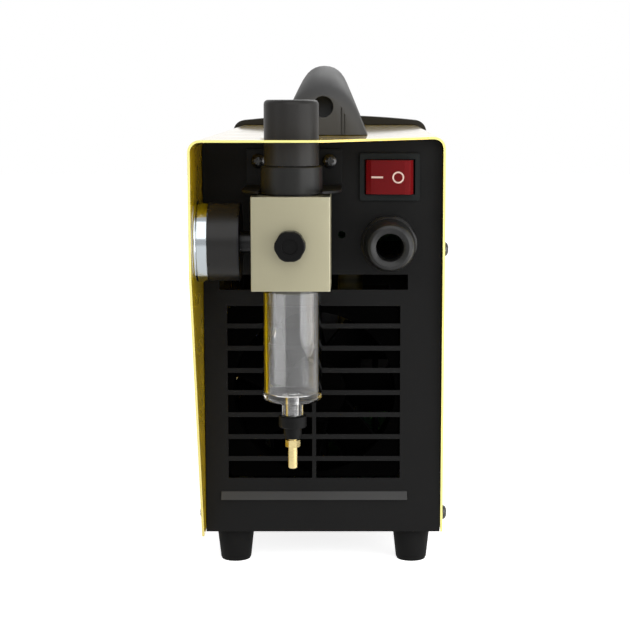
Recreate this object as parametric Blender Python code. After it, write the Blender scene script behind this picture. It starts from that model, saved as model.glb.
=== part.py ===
"""Compact air plasma cutter, seen from behind in its reference view.

Metres, +Z up, +X to the right of someone looking at the rear panel, +Y towards the front.
The origin is the centre of the footprint, on the surface that the feet stand on.
Places are measured from the rear panel: x from its centre line, y forward from its outer
face, h up from its bottom edge. place() turns them into the coordinates of the model.
"""

from math import atan2, cos, hypot, pi, radians, sin, sqrt

import bmesh
import bpy
from mathutils import Matrix, Vector

MM = 0.001

# --- Fits -------------------------------------------------------------------------------
FIT_GAP = 0.3 * MM  # between two pieces that touch
CUT_MARGIN = 1.0 * MM  # how far a cutter reaches past the faces it cuts
WELD = 0.001 * MM  # points closer than this are one point
SHARP_ANGLE = radians(35)

# --- Casing -----------------------------------------------------------------------------
CASE_WIDTH = 129.0 * MM  # over the cover
CASE_LENGTH = 300.0 * MM  # outer face of the rear panel to outer face of the front panel
PANEL_HEIGHT = 211.0 * MM
SHEET = 1.2 * MM
COVER_RADIUS = 6.0 * MM
PAN_FLANGE = 24.0 * MM  # depth of the side flanges of both panels
HOOD_DEPTH = 63.0 * MM  # the cover reaches this far behind the rear panel
HOOD_SLANT_X = 0.0 * MM  # right of this the hood's rear edge runs forward at 45 degrees
COVER_LIP = 7.0 * MM  # overhang of the upper part of the right wall
LEFT_FOOT_LIP = 10.0 * MM  # overhang of the left wall at its foot
RIGHT_FOOT_LIP = 0.5 * MM
WALL_SLANT_H = 145.0 * MM  # below this the rear edge of each wall slants forward
TRAY_FLANGE = 14.0 * MM
SIDE_VENT_COUNT = 7
SIDE_VENT_PITCH = 9.0 * MM
SIDE_VENT_LENGTH = 42.0 * MM
SIDE_VENT_WIDTH = 3.5 * MM
SIDE_VENT_H = 40.0 * MM
SIDE_VENT_FROM_FRONT = 80.0 * MM

# --- Feet -------------------------------------------------------------------------------
FOOT_HEIGHT = 18.0 * MM
FOOT_TOP_RADIUS = 10.0 * MM
FOOT_BOTTOM_RADIUS = 7.7 * MM
FOOT_RECESS_RADIUS = 5.0 * MM
FOOT_RECESS_DEPTH = 12.0 * MM
FOOT_SIDE_INSET = 16.5 * MM  # from the sides of the cover
FOOT_REAR_INSET = 13.0 * MM  # from the rear panel
FOOT_FRONT_INSET = 22.0 * MM  # from the front panel

# --- Screws -----------------------------------------------------------------------------
SCREW_RADIUS = 2.0 * MM
SCREW_HEAD_RADIUS = 3.9 * MM
SCREW_HEAD_HEIGHT = 2.3 * MM
SCREW_HOLE_RADIUS = 2.3 * MM
SCREW_SLOT_WIDTH = 1.1 * MM
SCREW_SLOT_DEPTH = 1.2 * MM
SIDE_SCREW_LENGTH = 8.0 * MM
SIDE_SCREW_REAR_Y = 10.0 * MM
SIDE_SCREW_FRONT_INSET = 18.0 * MM
SIDE_SCREW_HEIGHTS = (8.2 * MM, 152.4 * MM)
HANDLE_SCREW_LENGTH = 14.0 * MM
BRACKET_SCREW_LENGTH = 8.0 * MM

# --- Rear panel openings ----------------------------------------------------------------
GRID_X = -4.7 * MM  # centre line of the vent grid, the wide slot and the fan
GRID_ROWS = 8
GRID_PITCH = 12.0 * MM
GRID_SLOT_HEIGHT = 9.4 * MM
GRID_SLOT_LENGTH = 45.0 * MM
GRID_BAR = 2.1 * MM
GRID_BOTTOM_H = 29.6 * MM
WIDE_SLOT_LENGTH = 100.0 * MM
WIDE_SLOT_HEIGHT = 8.1 * MM
WIDE_SLOT_RISE = 8.7 * MM  # above the top row of the grid
LOUVRE_LENGTH = 100.0 * MM
LOUVRE_HEIGHT = 5.4 * MM
LOUVRE_H = 18.2 * MM
LOUVRE_REACH = 3.0 * MM  # its lower edge stands this far out of the panel
PILOT_HOLE_X = 10.2 * MM
PILOT_HOLE_RADIUS = 2.0 * MM

# --- Mains switch -----------------------------------------------------------------------
SWITCH_X = 35.5 * MM
SWITCH_DROP = 19.5 * MM  # from the top of the panel to its middle
SWITCH_WIDTH = 31.5 * MM
SWITCH_HEIGHT = 24.7 * MM
SWITCH_LIP = 2.0 * MM
SWITCH_WALL = 1.0 * MM
ROCKER_HALF_WIDTH = 12.75 * MM  # where it passes through the front of the housing
ROCKER_HEIGHT = 17.8 * MM
ROCKER_CROWN = 3.9 * MM  # its face stands this far out when it lies level
ROCKER_PIVOT_DEPTH = 2.4 * MM
ROCKER_BEVEL_RUN = 2.4 * MM  # along its face, at both ends
ROCKER_BEVEL_DROP = 0.5 * MM
ROCKER_TILT = radians(9)  # either way from level
ROCKER_PIN_RADIUS = 1.2 * MM
ROCKER_PIN_REACH = 0.6 * MM
SWITCH_POCKET_DEPTH = 9.5 * MM
SWITCH_FLOOR = 2.0 * MM
TERMINAL_SIZE = (6.3 * MM, 0.8 * MM)
TERMINAL_LENGTH = 8.0 * MM
TERMINAL_OFFSET_X = 7.0 * MM
TERMINAL_OFFSET_H = 5.0 * MM

# --- Cable gland ------------------------------------------------------------------------
GLAND_X = 35.1 * MM
GLAND_DROP = 34.7 * MM  # below the middle of the switch
GLAND_FLATS = 28.3 * MM
GLAND_CORNER_RADIUS = 14.8 * MM
GLAND_HEX_LENGTH = 8.0 * MM
GLAND_THREAD_RADIUS = 9.9 * MM
GLAND_THREAD_LENGTH = 12.0 * MM
GLAND_BORE_RADIUS = 7.2 * MM
GLAND_CAP_RADIUS = 13.5 * MM
GLAND_CAP_LENGTH = 21.0 * MM
GLAND_MOUTH_LENGTH = 6.0 * MM
GLAND_SEAL_RADIUS = 10.3 * MM
GLAND_NUT_FLATS = 25.0 * MM
GLAND_NUT_LENGTH = 5.0 * MM

# --- Filter regulator -------------------------------------------------------------------
REGULATOR_SIDE_INSET = 49.9 * MM  # from the left side of the cover
REGULATOR_STANDOFF = 41.0 * MM  # from its axis to the rear panel
BLOCK_SIZE = 39.2 * MM
BLOCK_BOTTOM_H = 138.1 * MM
BLOCK_HEIGHT = 46.5 * MM
BLOCK_BEVEL = 0.8 * MM
PORT_RISE = 22.9 * MM  # from the bottom of the block to the axis of all three ports
PORT_RADIUS = 6.2 * MM
PORT_DEPTH = 6.0 * MM
BOWL_SEAT_DEPTH = 9.0 * MM
BOWL_RADIUS = 15.0 * MM
BOWL_WALL = 2.0 * MM
BOWL_NECK_RADIUS = 13.4 * MM
BOWL_DROP = 58.6 * MM  # of its bottom, below the block
BOWL_EDGE_RADIUS = 3.5 * MM
BOWL_FLOOR = 4.0 * MM
BOWL_STEM_RADIUS = 5.3 * MM
BOWL_STEM_LENGTH = 6.9 * MM
ELEMENT_RADIUS = 7.5 * MM
ELEMENT_LENGTH = 12.0 * MM
BRACKET_RADIUS = 25.0 * MM
BRACKET_THICKNESS = 1.2 * MM
BRACKET_RISE = 1.6 * MM  # above the block
BRACKET_SCREW_DROP = 11.2 * MM  # below the top of the panel
BRACKET_SCREW_MARGIN = 6.2 * MM
BRACKET_SCREW_SPACING = 37.4 * MM
BONNET_RADIUS = 15.5 * MM
BONNET_LIFT = 1.0 * MM  # above the block
BONNET_STEP_RISE = 13.6 * MM
BONNET_NECK_RADIUS = 10.0 * MM
BONNET_NECK_LENGTH = 13.8 * MM
BONNET_SPIGOT_RADIUS = 13.2 * MM
BONNET_SPIGOT_LENGTH = 3.0 * MM
SPINDLE_RADIUS = 3.7 * MM
SPINDLE_LENGTH = 41.0 * MM
SPINDLE_REACH = 12.0 * MM  # above the bonnet
KNOB_RADIUS = 13.75 * MM
KNOB_HEAD = 6.9 * MM  # above the spindle
KNOB_EDGE_RADIUS = 2.2 * MM
KNOB_CROWN = 2.0 * MM  # above the end of its blind bore
KNOB_HOLE_GAP = 2.0 * MM  # round the knob, in the hood
KNOB_LIFT = 4.0 * MM
PLUG_RADIUS = 7.65 * MM
PLUG_FLATS = 14.6 * MM
PLUG_REACH = 9.0 * MM
PLUG_RECESS_RADIUS = 4.0 * MM
PLUG_RECESS_DEPTH = 1.5 * MM
PLUG_THREAD_LENGTH = 5.0 * MM
NIPPLE_HEX_FLATS = 15.0 * MM
NIPPLE_HEX_LENGTH = 9.0 * MM
NIPPLE_RADIUS = 6.0 * MM

# --- Drain ------------------------------------------------------------------------------
DRAIN_COLLAR_RADIUS = 7.1 * MM
DRAIN_COLLAR_DROP = 6.5 * MM  # of its step, below the stem of the bowl
DRAIN_COLLAR_NECK_RADIUS = 4.6 * MM
DRAIN_COLLAR_NECK_LENGTH = 4.2 * MM
DRAIN_COLLAR_TIP_RADIUS = 3.9 * MM
DRAIN_COLLAR_TIP_LENGTH = 1.7 * MM
DRAIN_HEX_FLATS = 6.6 * MM
DRAIN_HEX_DROP = 4.4 * MM  # of its bottom, below the collar
DRAIN_TUBE_RADIUS = 2.5 * MM
DRAIN_TUBE_LENGTH = 11.1 * MM
DRAIN_TUBE_BORE_RADIUS = 1.5 * MM
DRAIN_STEM_RADIUS = 2.4 * MM
DRAIN_STEM_REACH = 4.5 * MM  # above the bottom of the bowl
DRAIN_TRAVEL = 0.5 * MM

# --- Pressure gauge ---------------------------------------------------------------------
GAUGE_CASE_RADIUS = 19.6 * MM
GAUGE_CASE_DEPTH = 15.5 * MM
GAUGE_WALL_GAP = 2.0 * MM  # between its ring and the left wall
GAUGE_CASE_WALL = 1.5 * MM
GAUGE_RING_RADIUS = 20.2 * MM
GAUGE_RING_DEPTH = 5.5 * MM
GAUGE_RING_LIP = 3.0 * MM
GAUGE_STEM_RADIUS = 5.5 * MM
GAUGE_THREAD_RADIUS = 4.6 * MM
GAUGE_THREAD_LENGTH = 5.0 * MM
GAUGE_WINDOW_RADIUS = 18.0 * MM
GAUGE_LENS_THICKNESS = 1.5 * MM
GAUGE_DIAL_THICKNESS = 0.8 * MM
GAUGE_POST_RADIUS = 3.0 * MM
POINTER_SPACE = 4.0 * MM  # between the lens and the dial
POINTER_LENGTH = 13.0 * MM
POINTER_TAIL = 4.0 * MM
POINTER_WIDTH = 1.3 * MM
POINTER_THICKNESS = 0.6 * MM
POINTER_HUB_RADIUS = 2.0 * MM
POINTER_PIN_RADIUS = 0.6 * MM
POINTER_START = radians(45)  # zero of the scale: this far below level, on its reader's left

# --- Handle -----------------------------------------------------------------------------
HANDLE_REAR_Y = 22.0 * MM
HANDLE_LENGTH = 190.0 * MM
HANDLE_HALF_WIDTH = 24.1 * MM
HANDLE_HEIGHT = 37.8 * MM
HANDLE_FLANK_SLOPE = 0.411
HANDLE_CROWN_ASPECT = 0.75  # the crown's height over its half width
HANDLE_END_HALF_WIDTH = 13.8 * MM
HANDLE_END_HEIGHT = 21.3 * MM
HANDLE_FLARE = 6.0 * MM  # from each end face to the full width
HANDLE_RISE = (  # distance from an end face, share of the rise to the full height
    (0.0 * MM, 0.0),
    (0.6 * MM, 0.06),
    (2.0 * MM, 0.14),
    (4.0 * MM, 0.23),
    (6.5 * MM, 0.33),
    (13.0 * MM, 0.53),
    (20.0 * MM, 0.67),
    (27.0 * MM, 0.76),
    (34.0 * MM, 0.84),
    (41.0 * MM, 0.92),
    (53.0 * MM, 0.98),
    (78.0 * MM, 1.0),
)
HANDLE_LEG = 34.0 * MM  # length of each leg along the cover
FINGER_GAP_HEIGHT = 24.0 * MM
FINGER_GAP_RADIUS = 12.0 * MM
HANDLE_RECESS_RADIUS = 5.7 * MM
HANDLE_RECESS_H = 15.0 * MM
HANDLE_RECESS_DEPTH = 12.0 * MM
HANDLE_GROOVE_WIDTH = 0.8 * MM
HANDLE_GROOVE_DEPTH = 0.9 * MM
HANDLE_GROOVES = ((10.0 * MM, 14.5 * MM), (11.6 * MM, 11.0 * MM))  # x, height
HANDLE_SCREW_INSET = 22.0 * MM

# --- Front ------------------------------------------------------------------------------
BEZEL_WALL = 2.5 * MM
BEZEL_LAP = 10.0 * MM  # over the front of the cover
BEZEL_REACH = 12.0 * MM  # in front of the front panel
BEZEL_CROWN = 6.6 * MM  # above the cover, at the middle
BEZEL_SHOULDER = 3.4 * MM  # above the cover, where its corners start
BEZEL_CORNER_RADIUS = 8.0 * MM
BEZEL_BORDER = 7.5 * MM  # of the front panel that the bezel hides
BEZEL_OPENING_RADIUS = 6.0 * MM
CURRENT_KNOB_X = 28.0 * MM
CONTROLS_H = 162.0 * MM
CURRENT_KNOB_RADIUS = 14.0 * MM
CURRENT_KNOB_LENGTH = 16.0 * MM
CURRENT_KNOB_BORE_DEPTH = 10.0 * MM
SHAFT_RADIUS = 3.0 * MM
WINDOW_X = -24.0 * MM
WINDOW_WIDTH = 42.0 * MM
WINDOW_HEIGHT = 22.0 * MM
WINDOW_LIP = 2.0 * MM
WINDOW_THICKNESS = 1.5 * MM
OUTPUT_H = 50.0 * MM
TORCH_X = -30.0 * MM
TORCH_FLATS = 27.0 * MM
TORCH_FLANGE_LENGTH = 5.0 * MM
TORCH_RADIUS = 9.5 * MM
TORCH_REACH = 19.0 * MM
TORCH_BORE_RADIUS = 4.5 * MM
TORCH_BORE_DEPTH = 14.0 * MM
TORCH_BACK = 9.0 * MM
TORCH_BARB_RADIUS = 3.0 * MM
TORCH_BARB_LENGTH = 8.0 * MM
EARTH_X = 30.0 * MM
EARTH_FLANGE_RADIUS = 17.0 * MM
EARTH_FLANGE_LENGTH = 5.0 * MM
EARTH_RADIUS = 12.0 * MM
EARTH_REACH = 16.0 * MM
EARTH_BORE_RADIUS = 5.2 * MM
EARTH_BORE_DEPTH = 24.0 * MM
EARTH_BACK = 14.0 * MM
EARTH_KEY_WIDTH = 3.5 * MM
EARTH_KEY_DEPTH = 2.5 * MM

# --- Inside -----------------------------------------------------------------------------
FAN_SIZE = 92.0 * MM
FAN_DEPTH = 25.0 * MM
FAN_BORE_RADIUS = 43.5 * MM
FAN_HUB_RADIUS = 17.0 * MM
FAN_AXLE_RADIUS = 2.0 * MM
FAN_SPOKE_WIDTH = 5.0 * MM
FAN_SPOKE_DEPTH = 3.5 * MM
FAN_BLADES = 7
FAN_BLADE_THICKNESS = 1.6 * MM
FAN_BLADE_GAP = 1.0 * MM
FAN_BLADE_PITCH = radians(38)
BOARD_WIDTH = 100.0 * MM
BOARD_THICKNESS = 1.6 * MM
BOARD_H = 12.0 * MM
BOARD_REAR_Y = 32.0 * MM
BOARD_FRONT_SPACE = 32.0 * MM  # to the front of the case
POST_RADIUS = 3.5 * MM
POST_INSET = 8.0 * MM
CAPACITOR_RADIUS = 12.5 * MM
CAPACITOR_HEIGHT = 40.0 * MM
CAPACITOR_SPOTS = (  # x, distance behind the front of the case
    (-24.0 * MM, 95.0 * MM),
    (6.0 * MM, 95.0 * MM),
    (-24.0 * MM, 60.0 * MM),
)
SINK_WIDTH = 80.0 * MM
SINK_LENGTH = 100.0 * MM
SINK_REAR_Y = 40.0 * MM
SINK_HEIGHT = 80.0 * MM
SINK_PLATE = 6.0 * MM
SINK_FINS = 9
SINK_FIN = 2.0 * MM
CORE_SIZE = (44.0 * MM, 24.0 * MM, 30.0 * MM)
WINDING_SIZE = (14.0 * MM, 42.0 * MM, 43.0 * MM)
TRANSFORMER_X = 14.7 * MM
TRANSFORMER_Y = 74.0 * MM
VALVE_SIZE = 24.0 * MM
VALVE_REAR_Y = 12.0 * MM
COIL_RADIUS = 12.0 * MM
COIL_HEIGHT = 20.0 * MM
BARB_LENGTH = 8.0 * MM
HOSE_RADIUS = 4.0 * MM
HOSE_STEP = 10.0 * MM
HOSE_ROUTE = (  # x, share of the case length, h of the points between its straight ends
    (-15.0 * MM, 0.260, 158.0 * MM),
    (-22.0 * MM, 0.393, 150.0 * MM),
    (-36.0 * MM, 0.533, 132.0 * MM),
    (-47.0 * MM, 0.667, 102.0 * MM),
    (-46.0 * MM, 0.783, 72.0 * MM),
    (-36.0 * MM, 0.873, 54.0 * MM),
)
CONTROL_BOARD_SIZE = (104.0 * MM, 60.0 * MM)
CONTROL_BOARD_SPACE = 12.0 * MM  # behind the front panel
POTENTIOMETER_RADIUS = 8.0 * MM

# --- Sizes that follow from the ones above ----------------------------------------------
CASE_HALF = CASE_WIDTH / 2
INNER_HALF = CASE_HALF - SHEET
PANEL_HALF = INNER_HALF - FIT_GAP
TRAY_HALF = PANEL_HALF - SHEET - FIT_GAP
FOOT_X = CASE_HALF - FOOT_SIDE_INSET
SWITCH_H = PANEL_HEIGHT - SWITCH_DROP
GLAND_H = SWITCH_H - GLAND_DROP
COVER_INNER_TOP_H = PANEL_HEIGHT + FIT_GAP
COVER_TOP_H = COVER_INNER_TOP_H + SHEET
GRID_HEIGHT = (GRID_ROWS - 1) * GRID_PITCH + GRID_SLOT_HEIGHT
FAN_H = GRID_BOTTOM_H + GRID_HEIGHT / 2
BOARD_LENGTH = CASE_LENGTH - BOARD_REAR_Y - BOARD_FRONT_SPACE
WIDE_SLOT_H = GRID_BOTTOM_H + GRID_HEIGHT + WIDE_SLOT_RISE
BLOCK_TOP_H = BLOCK_BOTTOM_H + BLOCK_HEIGHT
BLOCK_HALF = BLOCK_SIZE / 2
PORT_H = BLOCK_BOTTOM_H + PORT_RISE
REGULATOR_X = REGULATOR_SIDE_INSET - CASE_HALF
BRACKET_H = BLOCK_TOP_H + BRACKET_RISE
BRACKET_SCREW_H = PANEL_HEIGHT - BRACKET_SCREW_DROP
BRACKET_TOP_H = BRACKET_SCREW_H + BRACKET_SCREW_MARGIN
BONNET_BOTTOM_H = BLOCK_TOP_H + BONNET_LIFT
BONNET_STEP_H = BONNET_BOTTOM_H + BONNET_STEP_RISE
BONNET_TOP_H = BONNET_STEP_H + BONNET_NECK_LENGTH
SPINDLE_TOP_H = BONNET_TOP_H + SPINDLE_REACH
SPINDLE_BOTTOM_H = SPINDLE_TOP_H - SPINDLE_LENGTH
KNOB_TOP_H = SPINDLE_TOP_H + KNOB_HEAD
GAUGE_CASE_BACK_X = GAUGE_WALL_GAP + GAUGE_RING_DEPTH + GAUGE_CASE_DEPTH - INNER_HALF
BOWL_TOP_H = BLOCK_BOTTOM_H + BOWL_SEAT_DEPTH - FIT_GAP
BOWL_BOTTOM_H = BLOCK_BOTTOM_H - BOWL_DROP
BOWL_STEM_BOTTOM_H = BOWL_BOTTOM_H - BOWL_STEM_LENGTH
DRAIN_COLLAR_STEP_H = BOWL_STEM_BOTTOM_H - DRAIN_COLLAR_DROP
DRAIN_COLLAR_TIP_H = DRAIN_COLLAR_STEP_H - DRAIN_COLLAR_NECK_LENGTH
DRAIN_COLLAR_BOTTOM_H = DRAIN_COLLAR_TIP_H - DRAIN_COLLAR_TIP_LENGTH
DRAIN_HEX_BOTTOM_H = DRAIN_COLLAR_BOTTOM_H - DRAIN_HEX_DROP
DRAIN_TUBE_BOTTOM_H = DRAIN_HEX_BOTTOM_H - DRAIN_TUBE_LENGTH
DRAIN_STEM_TOP_H = BOWL_BOTTOM_H + DRAIN_STEM_REACH
CAVITY_TOP_H = BLOCK_BOTTOM_H + BOWL_SEAT_DEPTH + ELEMENT_LENGTH
GLAND_REACH = FIT_GAP + GLAND_HEX_LENGTH + FIT_GAP + GLAND_CAP_LENGTH
PLUG_END = REGULATOR_STANDOFF + BLOCK_HALF + PLUG_REACH
REAR_REACH = max(HOOD_DEPTH, PLUG_END, GLAND_REACH, REGULATOR_STANDOFF + BRACKET_RADIUS)
CURRENT_KNOB_REACH = FIT_GAP + CURRENT_KNOB_LENGTH
FRONT_REACH = max(BEZEL_REACH, TORCH_REACH, EARTH_REACH, CURRENT_KNOB_REACH)
PANEL_Y = REAR_REACH - (REAR_REACH + CASE_LENGTH + FRONT_REACH) / 2
TRAY_TOP_H = SHEET
SINK_TOP_H = BOARD_H + BOARD_THICKNESS + FIT_GAP + SINK_HEIGHT
HANDLE_BASE_H = COVER_TOP_H + FIT_GAP
FRONT_INNER_Y = CASE_LENGTH - SHEET

# How each way that a turned solid can point is reached from +Z.
TURNS = {
    "up": (0.0, 0.0, 0.0),
    "down": (pi, 0.0, 0.0),
    "rear": (pi / 2, 0.0, 0.0),
    "front": (-pi / 2, 0.0, 0.0),
    "left": (0.0, -pi / 2, 0.0),
    "right": (0.0, pi / 2, 0.0),
}


# --- Places -----------------------------------------------------------------------------
def place(x, y, h):
    """The model's coordinates of a place measured from the rear panel."""
    return Vector((x, PANEL_Y + y, FOOT_HEIGHT + h))


# --- Outlines ---------------------------------------------------------------------------
def arc(centre, radius, start, end, steps):
    """Points on an arc, from one angle in degrees to another, both ends included."""
    angles = [radians(start + (end - start) * i / steps) for i in range(steps + 1)]
    return [(centre[0] + radius * cos(a), centre[1] + radius * sin(a)) for a in angles]


def circle(radius, centre=(0.0, 0.0), segments=24):
    return arc(centre, radius, 0, 360, segments)[:-1]


def hexagon(across_flats, centre=(0.0, 0.0)):
    """A hexagon with a corner on each side and a flat at its top and bottom."""
    return circle(across_flats / (2 * cos(pi / 6)), centre, 6)


def rectangle(low, high):
    return [low, (high[0], low[1]), high, (low[0], high[1])]


def rounded_rectangle(low, high, radius, steps=4):
    corners = (
        ((high[0] - radius, low[1] + radius), -90),
        ((high[0] - radius, high[1] - radius), 0),
        ((low[0] + radius, high[1] - radius), 90),
        ((low[0] + radius, low[1] + radius), 180),
    )
    return [p for centre, start in corners for p in arc(centre, radius, start, start + 90, steps)]


# --- Meshes -----------------------------------------------------------------------------
AXIS_ORDER = {
    "x": lambda u, v, w: (w, u, v),
    "y": lambda u, v, w: (u, w, v),
    "z": lambda u, v, w: (u, v, w),
}


def add_prism(bm, outline, axis, start, end):
    """Extrude an outline along an axis. It is given in the other two axes, in order."""
    put = AXIS_ORDER[axis]
    face = bm.faces.new([bm.verts.new(put(u, v, start)) for u, v in outline])
    swept = bmesh.ops.extrude_face_region(bm, geom=[face])["geom"]
    far = [item for item in swept if isinstance(item, bmesh.types.BMVert)]
    bmesh.ops.translate(bm, verts=far, vec=put(0.0, 0.0, end - start))
    return bm


def add_box(bm, low, high):
    return add_prism(bm, rectangle(low[:2], high[:2]), "z", low[2], high[2])


def add_turned(bm, profile, segments):
    """Turn a profile of (radius, height) points about Z. It starts and ends on the axis,
    or else it closes on itself and makes a ring."""
    verts = [bm.verts.new((radius, 0.0, height)) for radius, height in profile]
    pairs = list(zip(verts, verts[1:]))
    if profile[0][0] > 0:
        pairs.append((verts[-1], verts[0]))
    edges = [bm.edges.new(pair) for pair in pairs]
    bmesh.ops.spin(
        bm,
        geom=verts + edges,
        cent=(0, 0, 0),
        axis=(0, 0, 1),
        dvec=(0, 0, 0),
        angle=2 * pi,
        steps=segments,
        use_merge=True,
    )
    return bm


def add_loft(bm, rings):
    """Join closed rings of points that match one to one, and cap both ends."""
    rows = [[bm.verts.new(point) for point in ring] for ring in rings]
    count = len(rows[0])
    for row, following in zip(rows, rows[1:]):
        for i in range(count):
            j = (i + 1) % count
            bm.faces.new((row[i], row[j], following[j], following[i]))
    bm.faces.new(rows[0])
    bm.faces.new(rows[-1])
    return bm


def close_mesh(bm):
    bmesh.ops.remove_doubles(bm, verts=bm.verts, dist=WELD)
    bmesh.ops.recalc_face_normals(bm, faces=bm.faces)


def mesh_from(name, bm, finish):
    close_mesh(bm)
    mesh = bpy.data.meshes.new(name)
    bm.to_mesh(mesh)
    bm.free()
    mesh.materials.append(finish)
    mesh.shade_smooth()
    mesh.set_sharp_from_angle(angle=SHARP_ANGLE)
    return mesh


def add_object(name, mesh, location=(0.0, 0.0, 0.0), turn=(0.0, 0.0, 0.0)):
    piece = bpy.data.objects.new(name, mesh)
    piece.location = location
    piece.rotation_euler = turn
    bpy.context.scene.collection.objects.link(piece)
    return piece


def solid(name, bm, finish, location=(0.0, 0.0, 0.0), turn=(0.0, 0.0, 0.0)):
    return add_object(name, mesh_from(name, bm, finish), location, turn)


def turned(name, profile, finish, location, direction="up", segments=32):
    bm = add_turned(bmesh.new(), profile, segments)
    return solid(name, bm, finish, location, TURNS[direction])


def combine(target, bm, operation, label, location=(0.0, 0.0, 0.0), turn=(0.0, 0.0, 0.0)):
    """Cut a solid by a helper mesh, add it, or keep what they share."""
    helper = solid(f"{target.name}_{label}", bm, target.data.materials[0], location, turn)
    helper.hide_render = True
    helper.display_type = "WIRE"
    change = target.modifiers.new(label, "BOOLEAN")
    change.operation = operation
    change.solver = "EXACT"
    change.object = helper
    return helper


def cut(target, bm, label, location=(0.0, 0.0, 0.0), turn=(0.0, 0.0, 0.0)):
    return combine(target, bm, "DIFFERENCE", label, location, turn)


def fuse(target, bm, label, location=(0.0, 0.0, 0.0), turn=(0.0, 0.0, 0.0)):
    return combine(target, bm, "UNION", label, location, turn)


# --- Materials --------------------------------------------------------------------------
def material(name, colour, roughness, metallic=0.0, clear=0.0):
    finish = bpy.data.materials.new(name)
    finish.use_nodes = True
    shader = finish.node_tree.nodes["Principled BSDF"]
    shader.inputs["Base Color"].default_value = (*colour, 1.0)
    shader.inputs["Roughness"].default_value = roughness
    shader.inputs["Metallic"].default_value = metallic
    shader.inputs["Transmission Weight"].default_value = clear
    finish.diffuse_color = (*colour, 1.0)
    return finish


def make_materials():
    return {
        "yellow_paint": material("yellow_paint", (0.80, 0.52, 0.02), 0.35),
        "black_paint": material("black_paint", (0.016, 0.016, 0.016), 0.45),
        "dark_plastic": material("dark_plastic", (0.045, 0.044, 0.042), 0.5),
        "grey_plastic": material("grey_plastic", (0.14, 0.14, 0.14), 0.55),
        "red_plastic": material("red_plastic", (0.22, 0.012, 0.015), 0.35),
        "rubber": material("rubber", (0.018, 0.018, 0.018), 0.8),
        "black_screw": material("black_screw", (0.03, 0.03, 0.03), 0.35, 0.9),
        "zinc": material("zinc", (0.55, 0.55, 0.56), 0.35, 1.0),
        "beige_cast": material("beige_cast", (0.43, 0.40, 0.27), 0.45),
        "clear_plastic": material("clear_plastic", (0.90, 0.91, 0.92), 0.05, 0.0, 0.9),
        "filter_mesh": material("filter_mesh", (0.60, 0.60, 0.58), 0.9),
        "brass": material("brass", (0.80, 0.60, 0.28), 0.25, 1.0),
        "chrome": material("chrome", (0.75, 0.77, 0.78), 0.12, 1.0),
        "dial_white": material("dial_white", (0.85, 0.85, 0.83), 0.6),
        "aluminium": material("aluminium", (0.60, 0.61, 0.62), 0.4, 1.0),
        "circuit_board": material("circuit_board", (0.02, 0.12, 0.05), 0.5),
        "winding_tape": material("winding_tape", (0.45, 0.36, 0.03), 0.5),
        "hose_blue": material("hose_blue", (0.02, 0.06, 0.20), 0.4),
    }


# --- Screws -----------------------------------------------------------------------------
def screw_mesh(name, length, finish, segments):
    """A pan head screw with a cross recess. Its seat is at height zero, its head above."""
    top = FIT_GAP + SCREW_HEAD_HEIGHT
    profile = [
        (0.0, top),
        (0.50 * SCREW_HEAD_RADIUS, top),
        (0.85 * SCREW_HEAD_RADIUS, top - 0.30 * SCREW_HEAD_HEIGHT),
        (SCREW_HEAD_RADIUS, top - 0.70 * SCREW_HEAD_HEIGHT),
        (SCREW_HEAD_RADIUS, FIT_GAP),
        (SCREW_RADIUS, FIT_GAP),
        (SCREW_RADIUS, -length),
        (0.0, -length),
    ]
    draft = solid(f"{name}_draft", add_turned(bmesh.new(), profile, segments), finish)
    reach = 0.55 * SCREW_HEAD_RADIUS
    half = SCREW_SLOT_WIDTH / 2
    cross = [(reach, -half), (reach, half), (half, half), (half, reach), (-half, reach)]
    cross += [(-half, half), (-reach, half), (-reach, -half), (-half, -half), (-half, -reach)]
    cross += [(half, -reach), (half, -half)]
    recess = add_prism(bmesh.new(), cross, "z", top - SCREW_SLOT_DEPTH, top + CUT_MARGIN)
    cutter = cut(draft, recess, "recess")
    shape = draft.evaluated_get(bpy.context.evaluated_depsgraph_get())
    mesh = bpy.data.meshes.new_from_object(shape)
    mesh.name = name
    bpy.data.objects.remove(draft)
    bpy.data.objects.remove(cutter)
    return mesh


def side_screw_places():
    """Name and place of each cover screw's seat, with the way its head points."""
    rows = (
        ("rear", SIDE_SCREW_REAR_Y),
        ("front", CASE_LENGTH - SIDE_SCREW_FRONT_INSET),
    )
    levels = zip(("lower", "upper"), SIDE_SCREW_HEIGHTS)
    for level, h in levels:
        for row, y in rows:
            yield f"side_screw_left_{row}_{level}", (-CASE_HALF, y, h), "left"
            yield f"side_screw_right_{row}_{level}", (CASE_HALF, y, h), "right"


def build_side_screws(paint):
    mesh = screw_mesh("side_screw", SIDE_SCREW_LENGTH, paint["black_screw"], 16)
    for name, spot, direction in side_screw_places():
        add_object(name, mesh, place(*spot), TURNS[direction])


# --- Casing -----------------------------------------------------------------------------
def cover_section():
    """The bent sheet across the case: up one wall, over the top and down the other."""
    bottom = FOOT_HEIGHT
    corner = CASE_HALF - COVER_RADIUS
    corner_z = FOOT_HEIGHT + COVER_TOP_H - COVER_RADIUS
    inner_radius = COVER_RADIUS - SHEET
    outline = [(-CASE_HALF, bottom)]
    outline += arc((-corner, corner_z), COVER_RADIUS, 180, 90, 6)
    outline += arc((corner, corner_z), COVER_RADIUS, 90, 0, 6)
    outline += [(CASE_HALF, bottom), (INNER_HALF, bottom)]
    outline += arc((corner, corner_z), inner_radius, 0, 90, 6)
    outline += arc((-corner, corner_z), inner_radius, 90, 180, 6)
    outline += [(-INNER_HALF, bottom)]
    return outline


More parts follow.
